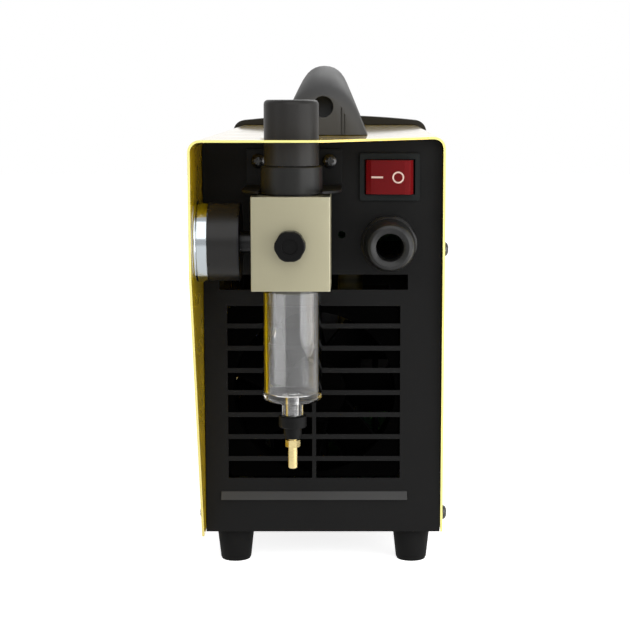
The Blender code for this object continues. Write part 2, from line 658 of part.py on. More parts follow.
def build_cover(paint):
    rear = PANEL_Y - HOOD_DEPTH
    lip = PANEL_Y - COVER_LIP
    behind = rear - CUT_MARGIN
    bottom = FOOT_HEIGHT - CUT_MARGIN
    top = FOOT_HEIGHT + COVER_TOP_H + CUT_MARGIN
    outside = CASE_HALF + CUT_MARGIN
    strip = add_prism(bmesh.new(), cover_section(), "y", rear, PANEL_Y + CASE_LENGTH)
    cover = solid("cover", strip, paint["yellow_paint"])

    slant_end = HOOD_SLANT_X + HOOD_DEPTH - COVER_LIP
    hood = [(HOOD_SLANT_X, behind), (HOOD_SLANT_X, rear), (slant_end, lip), (outside, lip)]
    hood += [(outside, behind)]
    cut(cover, add_prism(bmesh.new(), hood, "z", bottom, top), "hood_slant")

    slant_top = FOOT_HEIGHT + WALL_SLANT_H
    left = [(behind, bottom), (PANEL_Y - LEFT_FOOT_LIP, bottom)]
    left += [(PANEL_Y - LEFT_FOOT_LIP, FOOT_HEIGHT), (rear, slant_top), (behind, slant_top)]
    left_cut = add_prism(bmesh.new(), left, "x", -outside, -INNER_HALF + CUT_MARGIN)
    cut(cover, left_cut, "left_wall_slant")
    right = [(behind, bottom), (PANEL_Y - RIGHT_FOOT_LIP, bottom)]
    right += [(PANEL_Y - RIGHT_FOOT_LIP, FOOT_HEIGHT), (lip, slant_top), (behind, slant_top)]
    right_cut = add_prism(bmesh.new(), right, "x", INNER_HALF - CUT_MARGIN, outside)
    cut(cover, right_cut, "right_wall_slant")

    axis = place(REGULATOR_X, -REGULATOR_STANDOFF, PORT_H)
    knob_hole = circle(KNOB_RADIUS + KNOB_HOLE_GAP, axis.xy, 32)
    above = FOOT_HEIGHT + COVER_INNER_TOP_H - CUT_MARGIN
    cut(cover, add_prism(bmesh.new(), knob_hole, "z", above, top), "knob_hole")

    window = circle(GAUGE_WINDOW_RADIUS, axis.yz, 36)
    through = (-outside, -INNER_HALF + CUT_MARGIN)
    cut(cover, add_prism(bmesh.new(), window, "x", *through), "gauge_window")

    holes = bmesh.new()
    for _, spot, direction in side_screw_places():
        sign = -1 if direction == "left" else 1
        hole = circle(SCREW_HOLE_RADIUS, place(*spot).yz, 12)
        add_prism(holes, hole, "x", sign * (INNER_HALF - CUT_MARGIN), sign * outside)
    cut(cover, holes, "screw_holes")

    vents = bmesh.new()
    front = PANEL_Y + CASE_LENGTH - SIDE_VENT_FROM_FRONT
    for i in range(SIDE_VENT_COUNT):
        low = FOOT_HEIGHT + SIDE_VENT_H + i * SIDE_VENT_PITCH
        slot = rectangle((front, low), (front + SIDE_VENT_LENGTH, low + SIDE_VENT_WIDTH))
        for sign in (-1, 1):
            add_prism(vents, slot, "x", sign * (INNER_HALF - CUT_MARGIN), sign * outside)
    cut(cover, vents, "side_vents")

    fixings = bmesh.new()
    for y in handle_screw_rows():
        hole = circle(SCREW_HOLE_RADIUS, place(0.0, y, 0.0).xy, 12)
        add_prism(fixings, hole, "z", above, top)
    cut(cover, fixings, "handle_holes")
    return cover


def build_pan(name, face_y, flange_y, inner_y, finish):
    """A flat panel with a flange down each side, bent from one sheet."""
    bottom = FOOT_HEIGHT
    top = FOOT_HEIGHT + PANEL_HEIGHT
    radius = COVER_RADIUS - SHEET - FIT_GAP
    corner = PANEL_HALF - radius
    outline = [(-PANEL_HALF, bottom), (PANEL_HALF, bottom)]
    outline += arc((corner, top - radius), radius, 0, 90, 4)
    outline += arc((-corner, top - radius), radius, 90, 180, 4)
    pan = solid(name, add_prism(bmesh.new(), outline, "y", face_y, flange_y), finish)
    open_y = flange_y + (flange_y - inner_y)
    inner = PANEL_HALF - SHEET
    space = bmesh.new()
    low = (-inner, min(inner_y, open_y), bottom - CUT_MARGIN)
    high = (inner, max(inner_y, open_y), top + CUT_MARGIN)
    add_box(space, low, high)
    cut(pan, space, "space")
    return pan


def cut_flange_holes(panel, row):
    holes = bmesh.new()
    for name, spot, direction in side_screw_places():
        if row not in name:
            continue
        sign = -1 if direction == "left" else 1
        hole = circle(SCREW_HOLE_RADIUS, place(*spot).yz, 12)
        inside = PANEL_HALF - SHEET - CUT_MARGIN
        add_prism(holes, hole, "x", sign * inside, sign * (PANEL_HALF + CUT_MARGIN / 4))
    cut(panel, holes, "flange_holes")


def build_rear_panel(paint):
    inner = PANEL_Y + SHEET
    flange = PANEL_Y + PAN_FLANGE
    panel = build_pan("rear_panel", PANEL_Y, flange, inner, paint["black_paint"])
    span = (PANEL_Y - CUT_MARGIN, inner + CUT_MARGIN)

    grid = bmesh.new()
    for i in range(GRID_ROWS):
        low = FOOT_HEIGHT + GRID_BOTTOM_H + i * GRID_PITCH
        for sign in (-1, 1):
            near = GRID_X + sign * GRID_BAR / 2
            far = near + sign * GRID_SLOT_LENGTH
            left, right = min(near, far), max(near, far)
            add_prism(grid, rectangle((left, low), (right, low + GRID_SLOT_HEIGHT)), "y", *span)
    wide_z = FOOT_HEIGHT + WIDE_SLOT_H
    half = WIDE_SLOT_LENGTH / 2
    wide = rectangle((GRID_X - half, wide_z), (GRID_X + half, wide_z + WIDE_SLOT_HEIGHT))
    add_prism(grid, wide, "y", *span)
    cut(panel, grid, "vents")

    louvre_z = FOOT_HEIGHT + LOUVRE_H
    left = GRID_X - LOUVRE_LENGTH / 2
    right = GRID_X + LOUVRE_LENGTH / 2
    top_z = louvre_z + LOUVRE_HEIGHT
    slot = rectangle((left + SHEET, louvre_z), (right - SHEET, top_z - 1.4 * SHEET))
    cut(panel, add_prism(bmesh.new(), slot, "y", *span), "louvre_slot")
    root_y = PANEL_Y + SHEET / 2
    lip_y = PANEL_Y - LOUVRE_REACH
    blade = [(root_y, top_z), (lip_y, louvre_z), (lip_y + SHEET, louvre_z)]
    blade += [(root_y, top_z - 1.6 * SHEET)]
    fuse(panel, add_prism(bmesh.new(), blade, "x", left, right), "louvre")
    end = [(root_y, top_z), (lip_y, louvre_z), (root_y, louvre_z)]
    ends = add_prism(bmesh.new(), end, "x", left, left + SHEET)
    add_prism(ends, end, "x", right - SHEET, right)
    fuse(panel, ends, "louvre_ends")

    holes = bmesh.new()
    switch = place(SWITCH_X, 0.0, SWITCH_H)
    half_width, half_height = switch_body_half_size()
    low = (switch.x - half_width - FIT_GAP, switch.z - half_height - FIT_GAP)
    high = (switch.x + half_width + FIT_GAP, switch.z + half_height + FIT_GAP)
    add_prism(holes, rectangle(low, high), "y", *span)
    gland = place(GLAND_X, 0.0, GLAND_H)
    gland_hole = circle(GLAND_THREAD_RADIUS + FIT_GAP, (gland.x, gland.z), 32)
    add_prism(holes, gland_hole, "y", *span)
    outlet = place(REGULATOR_X, 0.0, PORT_H)
    outlet_hole = circle(NIPPLE_RADIUS + FIT_GAP, (outlet.x, outlet.z))
    add_prism(holes, outlet_hole, "y", *span)
    pilot = place(PILOT_HOLE_X, 0.0, PORT_H)
    add_prism(holes, circle(PILOT_HOLE_RADIUS, (pilot.x, pilot.z), 16), "y", *span)
    for x in bracket_screw_columns():
        spot = place(x, 0.0, BRACKET_SCREW_H)
        add_prism(holes, circle(SCREW_HOLE_RADIUS, (spot.x, spot.z), 12), "y", *span)
    cut(panel, holes, "fittings")
    cut_flange_holes(panel, "rear")
    return panel


def build_front_panel(paint):
    face = PANEL_Y + CASE_LENGTH
    inner = PANEL_Y + FRONT_INNER_Y
    panel = build_pan("front_panel", face, face - PAN_FLANGE, inner, paint["black_paint"])
    span = (inner - CUT_MARGIN, face + CUT_MARGIN)

    holes = bmesh.new()
    window = place(WINDOW_X, 0.0, CONTROLS_H)
    half_width = WINDOW_WIDTH / 2 - WINDOW_LIP + FIT_GAP
    half_height = WINDOW_HEIGHT / 2 - WINDOW_LIP + FIT_GAP
    low = (window.x - half_width, window.z - half_height)
    high = (window.x + half_width, window.z + half_height)
    add_prism(holes, rectangle(low, high), "y", *span)
    rounds = (
        (CURRENT_KNOB_X, CONTROLS_H, SHAFT_RADIUS),
        (TORCH_X, OUTPUT_H, TORCH_RADIUS),
        (EARTH_X, OUTPUT_H, EARTH_RADIUS),
    )
    for x, h, radius in rounds:
        spot = place(x, 0.0, h)
        add_prism(holes, circle(radius + FIT_GAP, (spot.x, spot.z)), "y", *span)
    cut(panel, holes, "fittings")
    cut_flange_holes(panel, "front")
    return panel


def build_base_tray(paint):
    """The bottom sheet with a flange up each side, and posts pressed up for the board."""
    bottom = FOOT_HEIGHT
    start = PANEL_Y + SHEET + FIT_GAP
    end = PANEL_Y + FRONT_INNER_Y - FIT_GAP
    inner = TRAY_HALF - SHEET
    section = [(-TRAY_HALF, bottom), (TRAY_HALF, bottom), (TRAY_HALF, bottom + TRAY_FLANGE)]
    section += [(inner, bottom + TRAY_FLANGE), (inner, bottom + TRAY_TOP_H)]
    section += [(-inner, bottom + TRAY_TOP_H), (-inner, bottom + TRAY_FLANGE)]
    section += [(-TRAY_HALF, bottom + TRAY_FLANGE)]
    tray = solid("base_tray", add_prism(bmesh.new(), section, "y", start, end), paint["zinc"])

    notches = bmesh.new()
    depth = PAN_FLANGE + FIT_GAP
    low = bottom + TRAY_TOP_H + CUT_MARGIN
    high = bottom + TRAY_FLANGE + CUT_MARGIN
    outside = TRAY_HALF + CUT_MARGIN
    ends = ((start - CUT_MARGIN, PANEL_Y + depth), (face_from_front(depth), end + CUT_MARGIN))
    for near, far in ends:
        for sign in (-1, 1):
            near_x = sign * (inner - CUT_MARGIN)
            far_x = sign * outside
            left, right = min(near_x, far_x), max(near_x, far_x)
            add_box(notches, (left, near, low), (right, far, high))
    cut(tray, notches, "notches")

    posts = bmesh.new()
    for x in (-BOARD_WIDTH / 2 + POST_INSET, BOARD_WIDTH / 2 - POST_INSET):
        for y in (BOARD_REAR_Y + POST_INSET, BOARD_REAR_Y + BOARD_LENGTH - POST_INSET):
            spot = place(x, y, 0.0)
            top = FOOT_HEIGHT + BOARD_H - FIT_GAP
            add_prism(posts, circle(POST_RADIUS, spot.xy, 12), "z", bottom + SHEET / 2, top)
    fuse(tray, posts, "posts")

    holes = bmesh.new()
    for _, spot in foot_places():
        hole = circle(SCREW_HOLE_RADIUS, place(*spot).xy, 12)
        add_prism(holes, hole, "z", bottom - CUT_MARGIN, bottom + TRAY_TOP_H + CUT_MARGIN)
    cut(tray, holes, "foot_holes")
    return tray


def face_from_front(distance):
    """The y of a plane that lies this far behind the front panel's outer face."""
    return PANEL_Y + CASE_LENGTH - distance


# --- Feet -------------------------------------------------------------------------------
def foot_places():
    for side, x in (("left", -FOOT_X), ("right", FOOT_X)):
        for row, y in (("rear", FOOT_REAR_INSET), ("front", CASE_LENGTH - FOOT_FRONT_INSET)):
            yield f"{side}_{row}", (x, y, 0.0)


def build_feet(paint):
    top = FOOT_HEIGHT - FIT_GAP
    edge = 0.6 * MM
    profile = [
        (SCREW_HOLE_RADIUS, top),
        (FOOT_TOP_RADIUS, top),
        (FOOT_TOP_RADIUS, top - 2 * edge),
        (FOOT_BOTTOM_RADIUS + edge, 2 * edge),
        (FOOT_BOTTOM_RADIUS, 0.0),
        (FOOT_RECESS_RADIUS, 0.0),
        (FOOT_RECESS_RADIUS, FOOT_RECESS_DEPTH),
        (SCREW_HOLE_RADIUS, FOOT_RECESS_DEPTH),
    ]
    rubber = paint["rubber"]
    foot_mesh = mesh_from("foot", add_turned(bmesh.new(), profile, 28), rubber)
    length = FOOT_HEIGHT - FOOT_RECESS_DEPTH + TRAY_TOP_H + 2.0 * MM
    bolt_mesh = screw_mesh("foot_screw", length, paint["zinc"], 12)
    for label, (x, y, _) in foot_places():
        add_object(f"foot_{label}", foot_mesh, place(x, y, -FOOT_HEIGHT))
        seat = place(x, y, FOOT_RECESS_DEPTH - FOOT_HEIGHT)
        add_object(f"foot_screw_{label}", bolt_mesh, seat, TURNS["down"])


# --- Handle -----------------------------------------------------------------------------
def handle_section(height):
    """Two straight flanks and a round crown, as points over the base, in x and z."""
    half = HANDLE_HALF_WIDTH
    slope = HANDLE_FLANK_SLOPE
    start_z = (height - HANDLE_CROWN_ASPECT * half) / (1 - HANDLE_CROWN_ASPECT * slope)
    start_x = half - slope * start_z
    corner_x = half - slope * height
    points = [(half, 0.0)]
    for i in range(7):
        t = i / 6
        x = (1 - t) ** 2 * start_x + 2 * t * (1 - t) * corner_x
        z = (1 - t) ** 2 * start_z + (1 - (1 - t) ** 2) * height
        points.append((x, z))
    return points + [(-x, z) for x, z in points[-2::-1]]


def handle_ring(y, distance, rise):
    """The section at a place along the handle, flared out from the arch of its end face."""
    height = HANDLE_END_HEIGHT + (HANDLE_HEIGHT - HANDLE_END_HEIGHT) * rise
    full = handle_section(height)
    spread = sqrt(1 - (1 - min(1.0, distance / HANDLE_FLARE)) ** 2)
    base = place(0.0, y, HANDLE_BASE_H)
    ring = []
    for i, (x, z) in enumerate(full):
        angle = pi * i / (len(full) - 1)
        arch_x = HANDLE_END_HALF_WIDTH * cos(angle)
        arch_z = HANDLE_END_HEIGHT * sin(angle)
        x = arch_x + (x - arch_x) * spread
        z = arch_z + (z - arch_z) * spread
        ring.append((x, base.y, base.z + z))
    return ring


def handle_screw_rows():
    return (
        HANDLE_REAR_Y + HANDLE_SCREW_INSET,
        HANDLE_REAR_Y + HANDLE_LENGTH - HANDLE_SCREW_INSET,
    )


def build_handle(paint):
    end_y = HANDLE_REAR_Y + HANDLE_LENGTH
    rings = [handle_ring(HANDLE_REAR_Y + distance, distance, rise) for distance, rise in HANDLE_RISE]
    rings += [handle_ring(end_y - distance, distance, rise) for distance, rise in HANDLE_RISE[::-1]]
    handle = solid("handle", add_loft(bmesh.new(), rings), paint["grey_plastic"])

    base = place(0.0, HANDLE_REAR_Y, HANDLE_BASE_H)
    low = (base.y + HANDLE_LEG, base.z - 2 * FINGER_GAP_RADIUS)
    high = (base.y + HANDLE_LENGTH - HANDLE_LEG, base.z + FINGER_GAP_HEIGHT)
    gap = rounded_rectangle(low, high, FINGER_GAP_RADIUS, 5)
    side = HANDLE_HALF_WIDTH + CUT_MARGIN
    cut(handle, add_prism(bmesh.new(), gap, "x", -side, side), "finger_gap")

    details = bmesh.new()
    recess = circle(HANDLE_RECESS_RADIUS, (0.0, base.z + HANDLE_RECESS_H))
    span = (base.y - CUT_MARGIN, base.y + HANDLE_RECESS_DEPTH)
    add_prism(details, recess, "y", *span)
    for x, height in HANDLE_GROOVES:
        for sign in (-1, 1):
            left = sign * x - HANDLE_GROOVE_WIDTH / 2
            groove_low = (left, base.z - CUT_MARGIN)
            groove_high = (left + HANDLE_GROOVE_WIDTH, base.z + height)
            span = (base.y - CUT_MARGIN, base.y + HANDLE_GROOVE_DEPTH)
            add_prism(details, rectangle(groove_low, groove_high), "y", *span)
    cut(handle, details, "rear_details")

    bores = bmesh.new()
    depth = HANDLE_SCREW_LENGTH - SHEET - FIT_GAP + CUT_MARGIN
    for y in handle_screw_rows():
        spot = place(0.0, y, HANDLE_BASE_H)
        bore = circle(SCREW_HOLE_RADIUS, spot.xy, 12)
        add_prism(bores, bore, "z", spot.z - CUT_MARGIN, spot.z + depth)
    cut(handle, bores, "screw_bores")

    mesh = screw_mesh("handle_screw", HANDLE_SCREW_LENGTH, paint["zinc"], 12)
    for label, y in zip(("rear", "front"), handle_screw_rows()):
        seat = place(0.0, y, COVER_INNER_TOP_H)
        add_object(f"handle_screw_{label}", mesh, seat, TURNS["down"])
    return handle


# --- Front bezel ------------------------------------------------------------------------
def bezel_outline():
    half = CASE_HALF + FIT_GAP + BEZEL_WALL
    bottom = FOOT_HEIGHT - FIT_GAP - BEZEL_WALL
    cover_top = FOOT_HEIGHT + COVER_TOP_H
    shoulder_x = half - BEZEL_CORNER_RADIUS
    corner_z = cover_top + BEZEL_SHOULDER - BEZEL_CORNER_RADIUS
    rise = BEZEL_CROWN - BEZEL_SHOULDER
    low_radius = 3.0 * MM
    outline = arc((-half + low_radius, bottom + low_radius), low_radius, 270, 180, 3)
    outline += arc((-shoulder_x, corner_z), BEZEL_CORNER_RADIUS, 180, 90, 7)
    for i in range(1, 12):
        share = i / 6 - 1
        crown_z = cover_top + BEZEL_SHOULDER + rise * (1 - share**2)
        outline.append((share * shoulder_x, crown_z))
    outline += arc((shoulder_x, corner_z), BEZEL_CORNER_RADIUS, 90, 0, 7)
    outline += arc((half - low_radius, bottom + low_radius), low_radius, 0, -90, 3)
    return outline


def build_front_bezel(paint):
    face = PANEL_Y + CASE_LENGTH
    rear = face - BEZEL_LAP
    front = face + BEZEL_REACH
    ring = add_prism(bmesh.new(), bezel_outline(), "y", rear, front)
    bezel = solid("front_bezel", ring, paint["dark_plastic"])

    half = CASE_HALF + FIT_GAP
    top_z = FOOT_HEIGHT + COVER_TOP_H + FIT_GAP
    radius = COVER_RADIUS + FIT_GAP
    rebate = [(-half, FOOT_HEIGHT - FIT_GAP)]
    rebate += arc((-half + radius, top_z - radius), radius, 180, 90, 6)
    rebate += arc((half - radius, top_z - radius), radius, 90, 0, 6)
    rebate += [(half, FOOT_HEIGHT - FIT_GAP)]
    cut(bezel, add_prism(bmesh.new(), rebate, "y", rear - CUT_MARGIN, face + FIT_GAP), "rebate")

    low = (-PANEL_HALF + BEZEL_BORDER, FOOT_HEIGHT + BEZEL_BORDER)
    high = (PANEL_HALF - BEZEL_BORDER, FOOT_HEIGHT + PANEL_HEIGHT - BEZEL_BORDER)
    opening = rounded_rectangle(low, high, BEZEL_OPENING_RADIUS)
    cut(bezel, add_prism(bmesh.new(), opening, "y", face, front + CUT_MARGIN), "opening")
    return bezel


# --- Mains switch -----------------------------------------------------------------------
def rocker_radius():
    """From the pivot to the ends of the rocker, which are arcs about the pivot."""
    return hypot(ROCKER_HALF_WIDTH, ROCKER_PIVOT_DEPTH)


def switch_pocket_half_size():
    """Clear of the widest point of the rocker's skirt as it rocks."""
    skirt = atan2(ROCKER_PIVOT_DEPTH, ROCKER_HALF_WIDTH) - ROCKER_TILT
    return rocker_radius() * cos(skirt) + FIT_GAP, ROCKER_HEIGHT / 2 + FIT_GAP


def switch_body_half_size():
    half_width, half_height = switch_pocket_half_size()
    return half_width + SWITCH_WALL, half_height + SWITCH_WALL


def build_switch(paint):
    spot = place(SWITCH_X, 0.0, SWITCH_H)
    front = -FIT_GAP - SWITCH_LIP
    pivot = place(SWITCH_X, front + ROCKER_PIVOT_DEPTH, SWITCH_H)
    pocket_end = front + SWITCH_POCKET_DEPTH
    body_end = pocket_end + SWITCH_FLOOR
    half_width, half_height = switch_body_half_size()

    bm = bmesh.new()
    low = (spot.x - SWITCH_WIDTH / 2, spot.z - SWITCH_HEIGHT / 2)
    high = (spot.x + SWITCH_WIDTH / 2, spot.z + SWITCH_HEIGHT / 2)
    lip = rounded_rectangle(low, high, 1.2 * MM, 3)
    add_prism(bm, lip, "y", PANEL_Y + front, PANEL_Y - FIT_GAP)
    housing = solid("switch_housing", bm, paint["dark_plastic"])
    low = (spot.x - half_width, spot.z - half_height)
    high = (spot.x + half_width, spot.z + half_height)
    body = add_prism(
        bmesh.new(), rectangle(low, high), "y", PANEL_Y - 2 * FIT_GAP, PANEL_Y + body_end
    )
    fuse(housing, body, "body")
    pocket_width, pocket_height = switch_pocket_half_size()
    low = (spot.x - pocket_width, spot.z - pocket_height)
    high = (spot.x + pocket_width, spot.z + pocket_height)
    span = (PANEL_Y + front - CUT_MARGIN, PANEL_Y + pocket_end)
    cut(housing, add_prism(bmesh.new(), rectangle(low, high), "y", *span), "pocket")
    sockets = circle(ROCKER_PIN_RADIUS + FIT_GAP, pivot.xy, 12)
    reach = pocket_height + ROCKER_PIN_REACH
    cut(housing, add_prism(bmesh.new(), sockets, "z", spot.z - reach, spot.z + reach), "sockets")
    terminals = bmesh.new()
    for x_sign in (-1, 1):
        for z_sign in (-1, 1):
            x = spot.x + x_sign * TERMINAL_OFFSET_X
            z = spot.z + z_sign * TERMINAL_OFFSET_H
            half_x, half_z = TERMINAL_SIZE[1] / 2, TERMINAL_SIZE[0] / 2
            blade = rectangle((x - half_x, z - half_z), (x + half_x, z + half_z))
            start = PANEL_Y + body_end - SWITCH_FLOOR / 2
            add_prism(terminals, blade, "y", start, PANEL_Y + body_end + TERMINAL_LENGTH)
    fuse(housing, terminals, "terminals")

    radius = rocker_radius()
    face = ROCKER_PIVOT_DEPTH + ROCKER_CROWN
    shoulder = face - ROCKER_BEVEL_DROP
    corner = atan2(shoulder, sqrt(radius**2 - shoulder**2)) * 180 / pi
    face_x = sqrt(radius**2 - face**2) - ROCKER_BEVEL_RUN
    skirt = atan2(ROCKER_PIVOT_DEPTH, ROCKER_HALF_WIDTH) * 180 / pi
    inner_x = 0.9 * ROCKER_HALF_WIDTH
    keel = ROCKER_PIN_RADIUS + 1.0 * MM
    outline = arc((0.0, 0.0), radius, -skirt, -corner, 3)
    outline += [(face_x, -face), (-face_x, -face)]
    outline += arc((0.0, 0.0), radius, corner - 180, skirt - 180, 3)
    outline += [(-inner_x, -0.4 * ROCKER_PIVOT_DEPTH), (-2 * keel, keel)]
    outline += [(2 * keel, keel), (inner_x, -0.4 * ROCKER_PIVOT_DEPTH)]
    half = ROCKER_HEIGHT / 2
    bm = add_prism(bmesh.new(), outline, "z", -half, half)
    rocker = solid("switch_rocker", bm, paint["red_plastic"], pivot, (0.0, 0.0, -ROCKER_TILT))
    reach = half + FIT_GAP + ROCKER_PIN_REACH - FIT_GAP
    pin = circle(ROCKER_PIN_RADIUS, pivot.xy, 12)
    fuse(rocker, add_prism(bmesh.new(), pin, "z", pivot.z - reach, pivot.z + reach), "pin")


# --- Cable gland ------------------------------------------------------------------------
def six_flats(target, across_flats, start, end):
    """Cut six flats on a turned solid between two heights on its own axis."""
    wide = 2 * across_flats
    for i in range(6):
        bm = bmesh.new()
        add_box(bm, (across_flats / 2, -wide, start), (wide, wide, end))
        turn = Matrix.Rotation(radians(30 + 60 * i), 4, "Z")
        bmesh.ops.transform(bm, matrix=turn, verts=bm.verts)
        cut(target, bm, f"flat_{i}", target.location, target.rotation_euler)


def build_gland(paint):
    seat = place(GLAND_X, 0.0, GLAND_H)
    hex_end = FIT_GAP + GLAND_HEX_LENGTH
    chamfer = 1.2 * MM
    profile = [
        (GLAND_BORE_RADIUS, hex_end),
        (GLAND_CORNER_RADIUS - chamfer, hex_end),
        (GLAND_CORNER_RADIUS, hex_end - chamfer),
        (GLAND_CORNER_RADIUS, FIT_GAP),
        (GLAND_THREAD_RADIUS, FIT_GAP),
        (GLAND_THREAD_RADIUS, -SHEET - GLAND_THREAD_LENGTH),
        (GLAND_BORE_RADIUS, -SHEET - GLAND_THREAD_LENGTH),
    ]
    body = turned("gland_body", profile, paint["dark_plastic"], seat, "rear", 36)
    six_flats(body, GLAND_FLATS, FIT_GAP / 2, hex_end + CUT_MARGIN)

    length = GLAND_CAP_LENGTH
    inside = GLAND_SEAL_RADIUS + FIT_GAP
    step = length - GLAND_MOUTH_LENGTH
    radius = GLAND_CAP_RADIUS
    profile = [
        (inside, 0.0),
        (radius, 0.0),
        (radius, 0.52 * length),
        (0.965 * radius, 0.74 * length),
        (0.91 * radius, 0.90 * length),
        (0.84 * radius, 0.97 * length),
        (0.74 * radius, length),
        (0.62 * radius, 0.985 * length),
        (GLAND_BORE_RADIUS, 0.94 * length),
        (GLAND_BORE_RADIUS, step),
        (inside, step),
    ]
    cap_seat = place(GLAND_X, -hex_end - FIT_GAP, GLAND_H)
    turned("gland_cap", profile, paint["dark_plastic"], cap_seat, "rear", 36)

    profile = [
        (GLAND_BORE_RADIUS - FIT_GAP, 0.0),
        (GLAND_SEAL_RADIUS, 0.0),
        (GLAND_SEAL_RADIUS, step - FIT_GAP),
        (GLAND_BORE_RADIUS - FIT_GAP, step - FIT_GAP),
    ]
    turned("gland_seal", profile, paint["rubber"], cap_seat, "rear", 28)

    inner = GLAND_THREAD_RADIUS + FIT_GAP
    nut_seat = place(GLAND_X, SHEET + FIT_GAP, GLAND_H)
    bm = add_prism(bmesh.new(), hexagon(GLAND_NUT_FLATS), "z", 0.0, GLAND_NUT_LENGTH)
    nut = solid("gland_locknut", bm, paint["dark_plastic"], nut_seat, TURNS["front"])
    bore = add_prism(
        bmesh.new(), circle(inner), "z", -CUT_MARGIN, GLAND_NUT_LENGTH + CUT_MARGIN
    )
    cut(nut, bore, "bore", nut_seat, TURNS["front"])


# --- Filter regulator -------------------------------------------------------------------
def bracket_screw_columns():
    half = BRACKET_SCREW_SPACING / 2
    return (REGULATOR_X - half, REGULATOR_X + half)


def build_bracket(paint):
    """An angle bracket: its forked shelf holds the bonnet, its plate is on the panel."""
    axis = place(REGULATOR_X, -REGULATOR_STANDOFF, BRACKET_H)
    against = PANEL_Y - FIT_GAP
    shelf = [(axis.x + BRACKET_RADIUS, against), (axis.x - BRACKET_RADIUS, against)]
    shelf += arc(axis.xy, BRACKET_RADIUS, 180, 360, 18)
    top = axis.z + BRACKET_THICKNESS
    bracket = solid(
        "regulator_bracket",
        add_prism(bmesh.new(), shelf, "z", axis.z, top),
        paint["black_paint"],
    )
    plate = bmesh.new()
    bottom = min(axis.z + FIT_GAP, FOOT_HEIGHT + BRACKET_SCREW_H - BRACKET_SCREW_MARGIN)
    low = (axis.x - BRACKET_RADIUS, against - BRACKET_THICKNESS, bottom)
    high = (axis.x + BRACKET_RADIUS, against, FOOT_HEIGHT + BRACKET_TOP_H)
    add_box(plate, low, high)
    fuse(bracket, plate, "plate")
    holes = bmesh.new()
    fork = BONNET_RADIUS + FIT_GAP
    open_end = axis.y - BRACKET_RADIUS - CUT_MARGIN
    mouth = [(axis.x - fork, open_end), (axis.x + fork, open_end)]
    mouth += arc(axis.xy, fork, 0, 180, 20)
    add_prism(holes, mouth, "z", axis.z - CUT_MARGIN, top + CUT_MARGIN)
    span = (against - BRACKET_THICKNESS - CUT_MARGIN, against + FIT_GAP / 2)
    for x in bracket_screw_columns():
        spot = place(x, 0.0, BRACKET_SCREW_H)
        add_prism(holes, circle(SCREW_HOLE_RADIUS, (spot.x, spot.z), 12), "y", *span)
    cut(bracket, holes, "holes")
    # A shelf that is level with the screws leaves room for their heads
    head_room = bmesh.new()
    room_radius = SCREW_HEAD_RADIUS + FIT_GAP
    room_end = against - BRACKET_THICKNESS - FIT_GAP / 2
    room_start = room_end - 2 * FIT_GAP - SCREW_HEAD_HEIGHT
    for x in bracket_screw_columns():
        spot = place(x, 0.0, BRACKET_SCREW_H)
        room = circle(room_radius, (spot.x, spot.z), 16)
        add_prism(head_room, room, "y", room_start, room_end)
    cut(bracket, head_room, "head_room")

    mesh = screw_mesh("bracket_screw", BRACKET_SCREW_LENGTH, paint["black_screw"], 16)
    for label, x in zip(("left", "right"), bracket_screw_columns()):
        seat = place(x, -FIT_GAP - BRACKET_THICKNESS, BRACKET_SCREW_H)
        add_object(f"bracket_screw_{label}", mesh, seat, TURNS["rear"])


